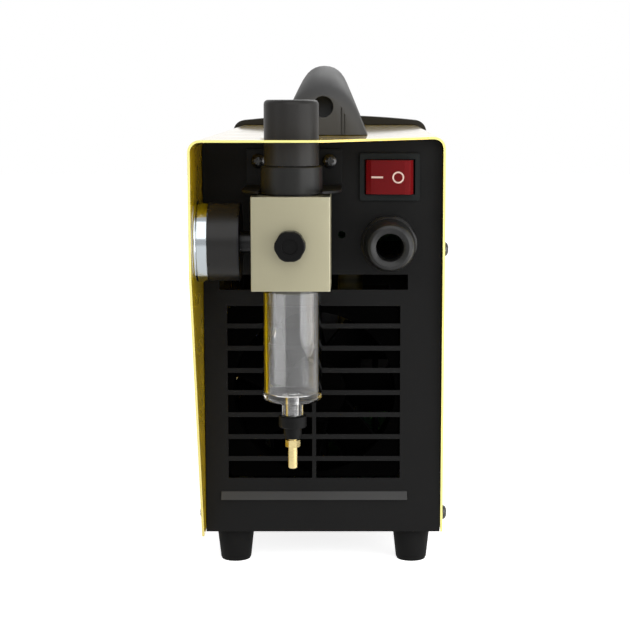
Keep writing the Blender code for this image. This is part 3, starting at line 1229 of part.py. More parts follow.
def build_regulator_body(paint):
    axis = place(REGULATOR_X, -REGULATOR_STANDOFF, 0.0)
    bottom = FOOT_HEIGHT + BLOCK_BOTTOM_H
    top = FOOT_HEIGHT + BLOCK_TOP_H
    low = (axis.x - BLOCK_HALF, axis.y - BLOCK_HALF)
    high = (axis.x + BLOCK_HALF, axis.y + BLOCK_HALF)
    block = rounded_rectangle(low, high, BLOCK_BEVEL, 2)
    finish = paint["beige_cast"]
    body = solid("regulator_body", add_prism(bmesh.new(), block, "z", bottom, top), finish)

    bores = bmesh.new()
    seat_top = bottom + BOWL_SEAT_DEPTH
    bowl_seat = circle(BOWL_NECK_RADIUS + FIT_GAP, axis.xy, 32)
    add_prism(bores, bowl_seat, "z", bottom - CUT_MARGIN, seat_top)
    cut(body, bores, "bowl_seat")
    chamber = circle(ELEMENT_RADIUS + FIT_GAP, axis.xy)
    chamber_top = FOOT_HEIGHT + CAVITY_TOP_H
    cut(body, add_prism(bmesh.new(), chamber, "z", seat_top - CUT_MARGIN, chamber_top), "chamber")
    spigot = circle(BONNET_SPIGOT_RADIUS + FIT_GAP, axis.xy, 32)
    floor = top - BONNET_SPIGOT_LENGTH - FIT_GAP
    cut(body, add_prism(bmesh.new(), spigot, "z", floor, top + CUT_MARGIN), "spigot_seat")

    ports = bmesh.new()
    port_z = FOOT_HEIGHT + PORT_H
    port = circle(PORT_RADIUS + FIT_GAP, (axis.x, port_z))
    add_prism(ports, port, "y", low[1] - CUT_MARGIN, low[1] + PORT_DEPTH)
    add_prism(ports, port, "y", high[1] - PORT_DEPTH, high[1] + CUT_MARGIN)
    gauge_port = circle(GAUGE_THREAD_RADIUS + FIT_GAP, (axis.y, port_z))
    add_prism(ports, gauge_port, "x", low[0] - CUT_MARGIN, low[0] + PORT_DEPTH)
    cut(body, ports, "ports")

    seat = place(REGULATOR_X, -REGULATOR_STANDOFF - BLOCK_HALF, PORT_H)
    recess = PLUG_REACH - PLUG_RECESS_DEPTH
    edge = 0.6 * MM
    profile = [
        (0.0, recess),
        (PLUG_RECESS_RADIUS, recess),
        (PLUG_RECESS_RADIUS, PLUG_REACH),
        (PLUG_RADIUS - edge, PLUG_REACH),
        (PLUG_RADIUS, PLUG_REACH - edge),
        (PLUG_RADIUS, FIT_GAP),
        (PORT_RADIUS, FIT_GAP),
        (PORT_RADIUS, -PLUG_THREAD_LENGTH),
        (0.0, -PLUG_THREAD_LENGTH),
    ]
    plug = turned("inlet_plug", profile, paint["dark_plastic"], seat, "rear", 30)
    six_flats(plug, PLUG_FLATS, FIT_GAP / 2, PLUG_REACH + CUT_MARGIN)

    seat = place(REGULATOR_X, -REGULATOR_STANDOFF + BLOCK_HALF, PORT_H)
    hex_radius = NIPPLE_HEX_FLATS / (2 * cos(pi / 6))
    end = VALVE_REAR_Y - FIT_GAP + REGULATOR_STANDOFF - BLOCK_HALF
    profile = [
        (0.0, end),
        (NIPPLE_RADIUS, end),
        (NIPPLE_RADIUS, FIT_GAP + NIPPLE_HEX_LENGTH),
        (hex_radius, FIT_GAP + NIPPLE_HEX_LENGTH),
        (hex_radius, FIT_GAP),
        (PORT_RADIUS, FIT_GAP),
        (PORT_RADIUS, -PLUG_THREAD_LENGTH),
        (0.0, -PLUG_THREAD_LENGTH),
    ]
    turned("outlet_nipple", profile, paint["brass"], seat, "front", 24)


def build_bonnet_and_knob(paint):
    axis = place(REGULATOR_X, -REGULATOR_STANDOFF, 0.0)
    bore = SPINDLE_RADIUS + FIT_GAP
    edge = 0.6 * MM
    profile = [
        (bore, BONNET_TOP_H),
        (BONNET_NECK_RADIUS, BONNET_TOP_H),
        (BONNET_NECK_RADIUS, BONNET_STEP_H),
        (BONNET_RADIUS - edge, BONNET_STEP_H),
        (BONNET_RADIUS, BONNET_STEP_H - edge),
        (BONNET_RADIUS, BONNET_BOTTOM_H),
        (BONNET_SPIGOT_RADIUS, BONNET_BOTTOM_H),
        (BONNET_SPIGOT_RADIUS, BLOCK_TOP_H - BONNET_SPIGOT_LENGTH),
        (bore, BLOCK_TOP_H - BONNET_SPIGOT_LENGTH),
    ]
    turned("regulator_bonnet", profile, paint["dark_plastic"], axis, "up", 40)

    profile = [
        (0.0, SPINDLE_TOP_H),
        (SPINDLE_RADIUS, SPINDLE_TOP_H),
        (SPINDLE_RADIUS, SPINDLE_BOTTOM_H),
        (0.0, SPINDLE_BOTTOM_H),
    ]
    turned("adjusting_screw", profile, paint["zinc"], axis, "up", 20)

    cavity = BONNET_NECK_RADIUS + FIT_GAP
    crown = KNOB_RADIUS - KNOB_EDGE_RADIUS
    outer = arc((crown, KNOB_TOP_H - KNOB_EDGE_RADIUS), KNOB_EDGE_RADIUS, 0, 90, 4)
    dish = 0.5 * MM
    profile = [
        (0.0, SPINDLE_TOP_H + KNOB_CROWN),
        (bore, SPINDLE_TOP_H + KNOB_CROWN),
        (bore, BONNET_TOP_H + KNOB_CROWN),
        (cavity, BONNET_TOP_H + KNOB_CROWN),
        (cavity, BONNET_STEP_H + FIT_GAP),
        (KNOB_RADIUS, BONNET_STEP_H + FIT_GAP),
    ]
    profile += outer
    profile += [(0.8 * crown, KNOB_TOP_H - dish), (0.0, KNOB_TOP_H - dish)]
    turned("pressure_knob", profile, paint["dark_plastic"], axis, "up", 40)


def build_bowl_and_drain(paint):
    axis = place(REGULATOR_X, -REGULATOR_STANDOFF, 0.0)
    inner = BOWL_RADIUS - BOWL_WALL
    neck_inner = BOWL_NECK_RADIUS - BOWL_WALL
    bore = DRAIN_STEM_RADIUS + FIT_GAP
    shoulder = BLOCK_BOTTOM_H - FIT_GAP
    floor = BOWL_BOTTOM_H + BOWL_FLOOR
    inner_edge = BOWL_EDGE_RADIUS - BOWL_WALL
    profile = [(neck_inner, BOWL_TOP_H), (BOWL_NECK_RADIUS, BOWL_TOP_H)]
    profile += [(BOWL_NECK_RADIUS, shoulder), (BOWL_RADIUS, shoulder)]
    centre = (BOWL_RADIUS - BOWL_EDGE_RADIUS, BOWL_BOTTOM_H + BOWL_EDGE_RADIUS)
    profile += arc(centre, BOWL_EDGE_RADIUS, 0, -90, 5)
    profile += [(BOWL_STEM_RADIUS, BOWL_BOTTOM_H), (BOWL_STEM_RADIUS, BOWL_STEM_BOTTOM_H)]
    profile += [(bore, BOWL_STEM_BOTTOM_H), (bore, floor)]
    profile += arc((inner - inner_edge, floor + inner_edge), inner_edge, -90, 0, 4)
    profile += [(inner, shoulder - BOWL_WALL), (neck_inner, shoulder)]
    turned("bowl", profile, paint["clear_plastic"], axis, "up", 56)

    top = CAVITY_TOP_H - FIT_GAP
    profile = [
        (0.0, top),
        (ELEMENT_RADIUS, top),
        (ELEMENT_RADIUS, top - ELEMENT_LENGTH),
        (0.0, top - ELEMENT_LENGTH),
    ]
    turned("filter_element", profile, paint["filter_mesh"], axis, "up", 20)

    collar_top = BOWL_STEM_BOTTOM_H - FIT_GAP
    edge = 0.5 * MM
    profile = [
        (bore, collar_top),
        (DRAIN_COLLAR_RADIUS - edge, collar_top),
        (DRAIN_COLLAR_RADIUS, collar_top - edge),
        (DRAIN_COLLAR_RADIUS, DRAIN_COLLAR_STEP_H + edge),
        (DRAIN_COLLAR_RADIUS - edge, DRAIN_COLLAR_STEP_H),
        (DRAIN_COLLAR_NECK_RADIUS, DRAIN_COLLAR_STEP_H),
        (DRAIN_COLLAR_NECK_RADIUS, DRAIN_COLLAR_TIP_H),
        (DRAIN_COLLAR_TIP_RADIUS, DRAIN_COLLAR_TIP_H),
        (DRAIN_COLLAR_TIP_RADIUS, DRAIN_COLLAR_BOTTOM_H),
        (bore, DRAIN_COLLAR_BOTTOM_H),
    ]
    turned("drain_collar", profile, paint["dark_plastic"], axis, "up", 24)

    hex_top = DRAIN_COLLAR_BOTTOM_H - DRAIN_TRAVEL - FIT_GAP
    hex_radius = DRAIN_HEX_FLATS / (2 * cos(pi / 6))
    tube_end = DRAIN_TUBE_BOTTOM_H + 8.0 * MM
    profile = [
        (0.0, DRAIN_STEM_TOP_H),
        (DRAIN_STEM_RADIUS, DRAIN_STEM_TOP_H),
        (DRAIN_STEM_RADIUS, hex_top),
        (hex_radius, hex_top),
        (hex_radius, DRAIN_HEX_BOTTOM_H),
        (DRAIN_TUBE_RADIUS, DRAIN_HEX_BOTTOM_H),
        (DRAIN_TUBE_RADIUS, DRAIN_TUBE_BOTTOM_H + edge),
        (DRAIN_TUBE_RADIUS - edge, DRAIN_TUBE_BOTTOM_H),
        (DRAIN_TUBE_BORE_RADIUS, DRAIN_TUBE_BOTTOM_H),
        (DRAIN_TUBE_BORE_RADIUS, tube_end),
        (0.0, tube_end),
    ]
    valve = turned("drain_valve", profile, paint["brass"], axis, "up", 18)
    six_flats(valve, DRAIN_HEX_FLATS, DRAIN_HEX_BOTTOM_H - FIT_GAP / 2, hex_top + FIT_GAP / 2)


# --- Pressure gauge ---------------------------------------------------------------------
def build_gauge(paint):
    """Built along its axis, which points left. Heights are measured from the case's back."""
    back = place(GAUGE_CASE_BACK_X, -REGULATOR_STANDOFF, PORT_H)
    block_face = GAUGE_CASE_BACK_X - (REGULATOR_X - BLOCK_HALF)
    depth = GAUGE_CASE_DEPTH
    inner = GAUGE_CASE_RADIUS - GAUGE_CASE_WALL
    floor = 3 * GAUGE_CASE_WALL
    lens_top = depth + GAUGE_RING_DEPTH - FIT_GAP - GAUGE_CASE_WALL
    lens_bottom = lens_top - GAUGE_LENS_THICKNESS
    dial_top = lens_bottom - POINTER_SPACE
    dial_bottom = dial_top - GAUGE_DIAL_THICKNESS
    pin_hole = POINTER_PIN_RADIUS + FIT_GAP
    profile = [
        (0.0, block_face - GAUGE_THREAD_LENGTH),
        (GAUGE_THREAD_RADIUS, block_face - GAUGE_THREAD_LENGTH),
        (GAUGE_THREAD_RADIUS, block_face + FIT_GAP),
        (GAUGE_STEM_RADIUS, block_face + FIT_GAP),
        (GAUGE_STEM_RADIUS, 0.0),
        (GAUGE_CASE_RADIUS, 0.0),
        (GAUGE_CASE_RADIUS, depth),
        (inner, depth),
        (inner, floor),
        (GAUGE_POST_RADIUS, floor),
        (GAUGE_POST_RADIUS, dial_bottom - FIT_GAP),
        (pin_hole, dial_bottom - FIT_GAP),
        (pin_hole, floor),
        (0.0, floor),
    ]
    turned("gauge_case", profile, paint["dark_plastic"], back, "left", 56)

    ring_top = depth + GAUGE_RING_DEPTH
    ring_inner = GAUGE_RING_RADIUS - GAUGE_RING_LIP
    edge = 0.4 * MM
    profile = [
        (ring_inner, ring_top),
        (GAUGE_RING_RADIUS - edge, ring_top),
        (GAUGE_RING_RADIUS, ring_top - edge),
        (GAUGE_RING_RADIUS, depth + FIT_GAP),
        (inner, depth + FIT_GAP),
        (inner, lens_top + FIT_GAP),
        (ring_inner, lens_top + FIT_GAP),
    ]
    turned("gauge_ring", profile, paint["chrome"], back, "left", 56)

    def disc(name, finish, radius, low, high, hole=0.0):
        profile = [(hole, high), (radius, high), (radius, low), (hole, low)]
        turned(name, profile, finish, back, "left", 32)

    fit_radius = inner - FIT_GAP
    disc("gauge_lens", paint["clear_plastic"], fit_radius, lens_bottom, lens_top)
    disc("gauge_dial", paint["dial_white"], fit_radius, dial_bottom, dial_top, pin_hole)

    blade_low = dial_top + 0.3 * POINTER_SPACE
    blade_high = blade_low + POINTER_THICKNESS
    hub_top = blade_high + POINTER_THICKNESS
    pin_bottom = dial_bottom - GAUGE_POST_RADIUS
    profile = [
        (0.0, hub_top),
        (POINTER_HUB_RADIUS, hub_top),
        (POINTER_HUB_RADIUS, dial_top + FIT_GAP),
        (POINTER_PIN_RADIUS, dial_top + FIT_GAP),
        (POINTER_PIN_RADIUS, pin_bottom),
        (0.0, pin_bottom),
    ]
    pointer = turned("gauge_pointer", profile, paint["black_paint"], back, "left", 12)
    half = POINTER_WIDTH / 2
    blade = [(-half, -POINTER_TAIL), (half, -POINTER_TAIL), (0.3 * half, POINTER_LENGTH)]
    blade += [(-0.3 * half, POINTER_LENGTH)]
    bm = add_prism(bmesh.new(), blade, "z", blade_low, blade_high)
    turn = Matrix.Rotation(POINTER_START, 4, "Z")
    bmesh.ops.transform(bm, matrix=turn, verts=bm.verts)
    fuse(pointer, bm, "blade", back, TURNS["left"])


# --- Cooling fan ------------------------------------------------------------------------
def build_fan(paint):
    centre = place(GRID_X, SHEET + FIT_GAP, FAN_H)
    half = FAN_SIZE / 2
    low = (centre.x - half, centre.z - half)
    high = (centre.x + half, centre.z + half)
    square = rounded_rectangle(low, high, 4.0 * MM, 3)
    end = centre.y + FAN_DEPTH
    bm = add_prism(bmesh.new(), square, "y", centre.y, end)
    frame = solid("fan_frame", bm, paint["dark_plastic"])
    bore = circle(FAN_BORE_RADIUS, (centre.x, centre.z), 40)
    through = (centre.y - CUT_MARGIN, end + CUT_MARGIN)
    cut(frame, add_prism(bmesh.new(), bore, "y", *through), "bore")
    spokes = bmesh.new()
    reach = FAN_BORE_RADIUS + CUT_MARGIN
    half_spoke = FAN_SPOKE_WIDTH / 2
    add_box(spokes, (-reach, -half_spoke, 0.0), (reach, half_spoke, FAN_SPOKE_DEPTH))
    spoke_seat = (centre.x, end, centre.z)
    fuse(frame, spokes, "spokes_across", spoke_seat, TURNS["rear"])
    spokes = bmesh.new()
    add_box(spokes, (-half_spoke, -reach, 0.0), (half_spoke, reach, FAN_SPOKE_DEPTH))
    fuse(frame, spokes, "spokes_upright", spoke_seat, TURNS["rear"])
    axle_end = FAN_DEPTH - FAN_SPOKE_DEPTH
    hub = [
        (0.0, 0.0),
        (FAN_HUB_RADIUS, 0.0),
        (FAN_HUB_RADIUS, FAN_SPOKE_DEPTH),
        (FAN_AXLE_RADIUS, FAN_SPOKE_DEPTH),
        (FAN_AXLE_RADIUS, axle_end),
        (0.0, axle_end),
    ]
    fuse(frame, add_turned(bmesh.new(), hub, 24), "hub", spoke_seat, TURNS["rear"])

    rotor_start = FAN_SPOKE_DEPTH + FIT_GAP
    rotor_end = FAN_DEPTH - 2 * FIT_GAP
    hole = FAN_AXLE_RADIUS + FIT_GAP
    profile = [
        (0.0, rotor_end),
        (FAN_HUB_RADIUS - CUT_MARGIN, rotor_end),
        (FAN_HUB_RADIUS, rotor_end - CUT_MARGIN),
        (FAN_HUB_RADIUS, rotor_start),
        (hole, rotor_start),
        (hole, axle_end + FIT_GAP),
        (0.0, axle_end + FIT_GAP),
    ]
    rotor = turned("fan_rotor", profile, paint["dark_plastic"], spoke_seat, "rear", 28)
    middle = (rotor_start + rotor_end) / 2
    chord = (rotor_end - rotor_start) / sin(FAN_BLADE_PITCH) * 0.8
    tip = FAN_BORE_RADIUS - FAN_BLADE_GAP
    blades = bmesh.new()
    for i in range(FAN_BLADES):
        blade = bmesh.new()
        half_chord = chord / 2
        thick = FAN_BLADE_THICKNESS / 2
        root = 0.85 * FAN_HUB_RADIUS
        far = FAN_BORE_RADIUS + CUT_MARGIN
        add_box(blade, (root, -half_chord, -thick), (far, half_chord, thick))
        pitch = Matrix.Rotation(FAN_BLADE_PITCH, 4, "X")
        around = Matrix.Rotation(2 * pi * i / FAN_BLADES, 4, "Z")
        lift = Matrix.Translation((0.0, 0.0, middle))
        bmesh.ops.transform(blade, matrix=lift @ around @ pitch, verts=blade.verts)
        spare = bpy.data.meshes.new("blade")
        blade.to_mesh(spare)
        blade.free()
        blades.from_mesh(spare)
        bpy.data.meshes.remove(spare)
    fuse(rotor, blades, "blades", spoke_seat, TURNS["rear"])
    swept = add_prism(bmesh.new(), circle(tip, segments=48), "z", 0.0, FAN_DEPTH)
    combine(rotor, swept, "INTERSECT", "swept_space", spoke_seat, TURNS["rear"])


# --- Power electronics ------------------------------------------------------------------
def build_main_board(paint):
    bottom = FOOT_HEIGHT + BOARD_H
    top = bottom + BOARD_THICKNESS
    low = place(-BOARD_WIDTH / 2, BOARD_REAR_Y, BOARD_H)
    bm = bmesh.new()
    add_box(bm, low, (BOARD_WIDTH / 2, low.y + BOARD_LENGTH, top))
    board = solid("main_board", bm, paint["circuit_board"])
    capacitors = bmesh.new()
    for x, distance in CAPACITOR_SPOTS:
        spot = place(x, CASE_LENGTH - distance, 0.0)
        can = circle(CAPACITOR_RADIUS, spot.xy, 20)
        add_prism(capacitors, can, "z", top - BOARD_THICKNESS / 2, top + CAPACITOR_HEIGHT)
    fuse(board, capacitors, "capacitors")


def build_heatsink(paint):
    """A finned extrusion that stands on the board, with its plate on top."""
    bottom = FOOT_HEIGHT + BOARD_H + BOARD_THICKNESS + FIT_GAP
    top = bottom + SINK_HEIGHT
    under = top - SINK_PLATE
    half = SINK_WIDTH / 2
    pitch = (SINK_WIDTH - SINK_FIN) / (SINK_FINS - 1)
    outline = [(half, top), (-half, top)]
    for i in range(SINK_FINS):
        left = -half + i * pitch
        if i > 0:
            outline.append((left, under))
        outline += [(left, bottom), (left + SINK_FIN, bottom)]
        if i < SINK_FINS - 1:
            outline.append((left + SINK_FIN, under))
    start = PANEL_Y + SINK_REAR_Y
    bm = add_prism(bmesh.new(), outline, "y", start, start + SINK_LENGTH)
    solid("heatsink", bm, paint["aluminium"])


def build_transformer(paint):
    base = place(TRANSFORMER_X, TRANSFORMER_Y, SINK_TOP_H + FIT_GAP)
    bm = bmesh.new()
    half_x, half_y = CORE_SIZE[0] / 2, CORE_SIZE[1] / 2
    low = (base.x - half_x, base.y - half_y, base.z)
    add_box(bm, low, (base.x + half_x, base.y + half_y, base.z + CORE_SIZE[2]))
    transformer = solid("transformer", bm, paint["winding_tape"])
    half_x, half_y = WINDING_SIZE[0] / 2, WINDING_SIZE[1] / 2
    radius = 4.0 * MM
    low = (base.x - half_x, base.y - half_y)
    high = (base.x + half_x, base.y + half_y)
    coil = rounded_rectangle(low, high, radius)
    coil_bottom = base.z + FIT_GAP
    coil_top = base.z + WINDING_SIZE[2]
    fuse(transformer, add_prism(bmesh.new(), coil, "z", coil_bottom, coil_top), "winding")


# --- Air path ---------------------------------------------------------------------------
def build_solenoid_valve(paint):
    half = VALVE_SIZE / 2
    low = place(REGULATOR_X - half, VALVE_REAR_Y, PORT_H - half)
    high = place(REGULATOR_X + half, VALVE_REAR_Y + VALVE_SIZE, PORT_H + half)
    bm = bmesh.new()
    add_box(bm, low, high)
    valve = solid("solenoid_valve", bm, paint["brass"])
    middle = place(REGULATOR_X, VALVE_REAR_Y + half, 0.0)
    coil = circle(COIL_RADIUS - FIT_GAP, middle.xy)
    coil_mesh = add_prism(bmesh.new(), coil, "z", high.z - CUT_MARGIN, high.z + COIL_HEIGHT)
    fuse(valve, coil_mesh, "coil")
    barb = circle(TORCH_BARB_RADIUS, (middle.x, FOOT_HEIGHT + PORT_H), 16)
    barb_mesh = add_prism(bmesh.new(), barb, "y", high.y - CUT_MARGIN, high.y + BARB_LENGTH)
    fuse(valve, barb_mesh, "barb")


def smooth_route(points, step):
    """Points about a step apart on one smooth curve through the given points."""
    ends = [2 * points[0] - points[1]] + points + [2 * points[-1] - points[-2]]
    route = []
    for before, start, end, after in zip(ends, ends[1:], ends[2:], ends[3:]):
        count = max(1, round((end - start).length / step))
        for i in range(count):
            t = i / count
            curve = 2 * start + (end - before) * t
            curve += (2 * before - 5 * start + 4 * end - after) * t**2
            curve += (3 * start - before - 3 * end + after) * t**3
            route.append(curve / 2)
    route.append(points[-1])
    return route


def build_air_hose(paint):
    straight = 2 * HOSE_RADIUS
    start = place(REGULATOR_X, VALVE_REAR_Y + VALVE_SIZE + BARB_LENGTH + FIT_GAP, PORT_H)
    end_y = CASE_LENGTH - SHEET - TORCH_BACK - TORCH_BARB_LENGTH - FIT_GAP
    end = place(TORCH_X, end_y, OUTPUT_H)
    along = Vector((0.0, straight, 0.0))
    between = [place(x, share * CASE_LENGTH, h) for x, share, h in HOSE_ROUTE]
    points = [start, start + along] + between + [end - along, end]
    route = smooth_route(points, HOSE_STEP)
    curve = bpy.data.curves.new("air_hose", "CURVE")
    curve.dimensions = "3D"
    curve.bevel_depth = HOSE_RADIUS
    curve.bevel_resolution = 2
    curve.use_fill_caps = True
    spline = curve.splines.new("POLY")
    spline.points.add(len(route) - 1)
    for point, spot in zip(spline.points, route):
        point.co = (*spot, 1.0)
    curve.materials.append(paint["hose_blue"])
    hose = bpy.data.objects.new("air_hose", curve)
    bpy.context.scene.collection.objects.link(hose)


# --- Front controls and outputs ---------------------------------------------------------
def build_control_board(paint):
    width, height = CONTROL_BOARD_SIZE
    inner = FRONT_INNER_Y - FIT_GAP
    face = FRONT_INNER_Y - CONTROL_BOARD_SPACE
    low = place(-width / 2, face - BOARD_THICKNESS, CONTROLS_H - height / 2)
    high = place(width / 2, face, CONTROLS_H + height / 2)
    bm = bmesh.new()
    add_box(bm, low, high)
    board = solid("control_board", bm, paint["circuit_board"])
    parts = bmesh.new()
    start = PANEL_Y + face - BOARD_THICKNESS / 2
    for x in (-width / 2 + POST_INSET, width / 2 - POST_INSET):
        for h in (-height / 2 + POST_INSET, height / 2 - POST_INSET):
            spot = place(x, 0.0, CONTROLS_H + h)
            post = circle(POST_RADIUS, (spot.x, spot.z), 12)
            add_prism(parts, post, "y", start, PANEL_Y + inner)
    spot = place(CURRENT_KNOB_X, 0.0, CONTROLS_H)
    body = circle(POTENTIOMETER_RADIUS, (spot.x, spot.z), 20)
    add_prism(parts, body, "y", start, PANEL_Y + inner)
    fuse(board, parts, "posts")
    shaft_end = CASE_LENGTH + FIT_GAP + CURRENT_KNOB_BORE_DEPTH - FIT_GAP
    shaft = circle(SHAFT_RADIUS, (spot.x, spot.z), 16)
    span = (PANEL_Y + inner - CUT_MARGIN, PANEL_Y + shaft_end)
    fuse(board, add_prism(bmesh.new(), shaft, "y", *span), "shaft")


def build_current_knob(paint):
    seat = place(CURRENT_KNOB_X, CASE_LENGTH, CONTROLS_H)
    bottom = FIT_GAP
    top = FIT_GAP + CURRENT_KNOB_LENGTH
    bore = SHAFT_RADIUS + FIT_GAP
    grip = 0.8 * CURRENT_KNOB_RADIUS
    edge = 1.2 * MM
    profile = [
        (0.0, top),
        (grip - edge, top),
        (grip, top - edge),
        (1.05 * grip, 0.3 * CURRENT_KNOB_LENGTH),
        (CURRENT_KNOB_RADIUS, 0.2 * CURRENT_KNOB_LENGTH),
        (CURRENT_KNOB_RADIUS, bottom),
        (bore, bottom),
        (bore, bottom + CURRENT_KNOB_BORE_DEPTH),
        (0.0, bottom + CURRENT_KNOB_BORE_DEPTH),
    ]
    knob = turned("current_knob", profile, paint["dark_plastic"], seat, "front", 32)
    ridge = bmesh.new()
    half = 0.7 * MM
    low = (-half, -grip + edge, top - 2 * edge)
    add_box(ridge, (low[0], 0.25 * grip, low[2]), (half, grip - edge, top + half))
    fuse(knob, ridge, "ridge", seat, TURNS["front"])


def build_display_window(paint):
    seat = place(WINDOW_X, CASE_LENGTH, CONTROLS_H)
    low = (seat.x - WINDOW_WIDTH / 2, seat.z - WINDOW_HEIGHT / 2)
    high = (seat.x + WINDOW_WIDTH / 2, seat.z + WINDOW_HEIGHT / 2)
    lip = rounded_rectangle(low, high, 1.5 * MM, 3)
    front = seat.y + FIT_GAP + WINDOW_THICKNESS
    bm = add_prism(bmesh.new(), lip, "y", seat.y + FIT_GAP, front)
    window = solid("display_window", bm, paint["clear_plastic"])
    low = (low[0] + WINDOW_LIP, low[1] + WINDOW_LIP)
    high = (high[0] - WINDOW_LIP, high[1] - WINDOW_LIP)
    span = (seat.y - 2 * SHEET, seat.y + FIT_GAP + WINDOW_THICKNESS / 2)
    fuse(window, add_prism(bmesh.new(), rectangle(low, high), "y", *span), "insert")


def build_torch_connector(paint):
    seat = place(TORCH_X, CASE_LENGTH, OUTPUT_H)
    flange_end = FIT_GAP + TORCH_FLANGE_LENGTH
    flange_radius = TORCH_FLATS / (2 * cos(pi / 6))
    back = -SHEET - TORCH_BACK
    edge = 0.8 * MM
    profile = [
        (0.0, TORCH_REACH - TORCH_BORE_DEPTH),
        (TORCH_BORE_RADIUS, TORCH_REACH - TORCH_BORE_DEPTH),
        (TORCH_BORE_RADIUS, TORCH_REACH),
        (TORCH_RADIUS - edge, TORCH_REACH),
        (TORCH_RADIUS, TORCH_REACH - edge),
        (TORCH_RADIUS, flange_end),
        (flange_radius, flange_end),
        (flange_radius, FIT_GAP),
        (TORCH_RADIUS, FIT_GAP),
        (TORCH_RADIUS, back),
        (TORCH_BARB_RADIUS, back),
        (TORCH_BARB_RADIUS, back - TORCH_BARB_LENGTH),
        (0.0, back - TORCH_BARB_LENGTH),
    ]
    connector = turned("torch_connector", profile, paint["brass"], seat, "front", 30)
    six_flats(connector, TORCH_FLATS, FIT_GAP / 2, flange_end + FIT_GAP / 2)


def build_earth_socket(paint):
    seat = place(EARTH_X, CASE_LENGTH, OUTPUT_H)
    flange_end = FIT_GAP + EARTH_FLANGE_LENGTH
    floor = EARTH_REACH - EARTH_BORE_DEPTH
    edge = 0.8 * MM
    profile = [
        (0.0, floor),
        (EARTH_BORE_RADIUS, floor),
        (EARTH_BORE_RADIUS, EARTH_REACH),
        (EARTH_RADIUS - edge, EARTH_REACH),
        (EARTH_RADIUS, EARTH_REACH - edge),
        (EARTH_RADIUS, flange_end),
        (EARTH_FLANGE_RADIUS, flange_end),
        (EARTH_FLANGE_RADIUS, FIT_GAP),
        (EARTH_RADIUS, FIT_GAP),
        (EARTH_RADIUS, -SHEET - EARTH_BACK),
        (0.0, -SHEET - EARTH_BACK),
    ]
    socket = turned("earth_socket", profile, paint["dark_plastic"], seat, "front", 32)
    key = bmesh.new()
    half = EARTH_KEY_WIDTH / 2
    reach = EARTH_BORE_RADIUS + EARTH_KEY_DEPTH
    add_box(key, (-half, 0.0, floor + edge), (half, reach, EARTH_REACH + CUT_MARGIN))
    cut(socket, key, "keyway", seat, TURNS["front"])


# --- The whole unit ---------------------------------------------------------------------
def clear_scene():
    for leftover in list(bpy.data.objects):
        bpy.data.objects.remove(leftover)


def build_unit():
    clear_scene()
    paint = make_materials()
    build_cover(paint)
    build_base_tray(paint)
    build_rear_panel(paint)
    build_front_panel(paint)
    build_front_bezel(paint)
    build_side_screws(paint)
    build_feet(paint)
    build_handle(paint)
    build_switch(paint)
    build_gland(paint)
    build_bracket(paint)
    build_regulator_body(paint)
    build_bonnet_and_knob(paint)
    build_bowl_and_drain(paint)
    build_gauge(paint)
    build_fan(paint)
    build_main_board(paint)
    build_heatsink(paint)
    build_transformer(paint)
    build_solenoid_valve(paint)
    build_air_hose(paint)
    build_control_board(paint)
    build_current_knob(paint)
    build_display_window(paint)
    build_torch_connector(paint)
    build_earth_socket(paint)


build_unit()
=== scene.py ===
"""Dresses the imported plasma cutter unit: finishes, small details, light and camera."""

from math import atan, cos, pi, radians, sin

import bmesh
import bpy
from mathutils import Matrix, Vector


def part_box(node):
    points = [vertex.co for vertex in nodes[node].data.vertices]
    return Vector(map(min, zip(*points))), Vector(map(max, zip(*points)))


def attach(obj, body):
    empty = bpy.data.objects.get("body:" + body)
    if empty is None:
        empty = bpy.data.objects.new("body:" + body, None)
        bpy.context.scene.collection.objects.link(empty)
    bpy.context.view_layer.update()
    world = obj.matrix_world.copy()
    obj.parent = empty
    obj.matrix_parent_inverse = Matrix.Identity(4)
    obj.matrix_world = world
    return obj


MM = 0.001
WHITE = (1.0, 1.0, 1.0, 1.0)
BRACKET_GAP = 0.3 * MM  # between the regulator's bracket and the rear panel's face

# The photograph's frame and viewpoint
IMAGE_SIZE = 630
FOCAL_PIXELS = 1652.0
AXIS_PIXEL = 353.0  # column of the picture that the camera's axis meets
HORIZON_DROP = 225.0  # pixels from the level of the camera down to the picture's middle
CAMERA_X = 16.2 * MM
CAMERA_BEHIND = 870.0 * MM  # behind the rear panel
CAMERA_Z = 254.7 * MM
CLIP_START = 20.0 * MM
SENSOR_WIDTH = 36.0  # in millimetres, as Blender takes it

# Shading of the frame's meshes
CURVE_ANGLE = radians(32)  # a sharper bend is an edge
ROCKER_ANGLE = radians(8)
MERGE_DISTANCE = 0.01 * MM
FLAT_SIDED = (  # nodes whose large faces look flat right up to their bends
    "base_tray",
    "cover",
    "display_window",
    "front_bezel",
    "front_panel",
    "rear_panel",
    "switch_housing",
    "switch_rocker",
)

# Textures, in features to the metre
BLOTCH_SCALE = 28.0
GLOSS_SCALE = 55.0
WEAR_SCALE = 160.0
METAL_GRAIN = 260.0
PRINTED_GRAIN = 1500.0
BRUSHED = {"Y": (1, 12, 1), "Z": (1, 1, 12)}  # fine rings round that axis

# The cosine between the rounded and the plain direction, on an edge and on a flat face
EDGE_COSINE = 0.86
FLAT_COSINE = 0.99
BEVEL_SAMPLES = 4

# The cover's paint, and a light yellow painted highlight for the sheet's ends and edges
YELLOW = (0.847, 0.552, 0.0027, 1.0)
HIGHLIGHT_YELLOW = (0.88, 0.79, 0.24, 1.0)

# Where one node has two finishes, or a part of it carries a painted highlight (the louvre) and
# painted shade (the gauge's stem)
BOARD_THICKNESS = 1.6 * MM
WINDING_HALF_WIDTH = 7.1 * MM
VALVE_BODY_HEIGHT = 24.2 * MM
GAUGE_STEM_LENGTH = 7.0 * MM
LOUVRE_START = 0.4 * MM  # out from the rear panel's face

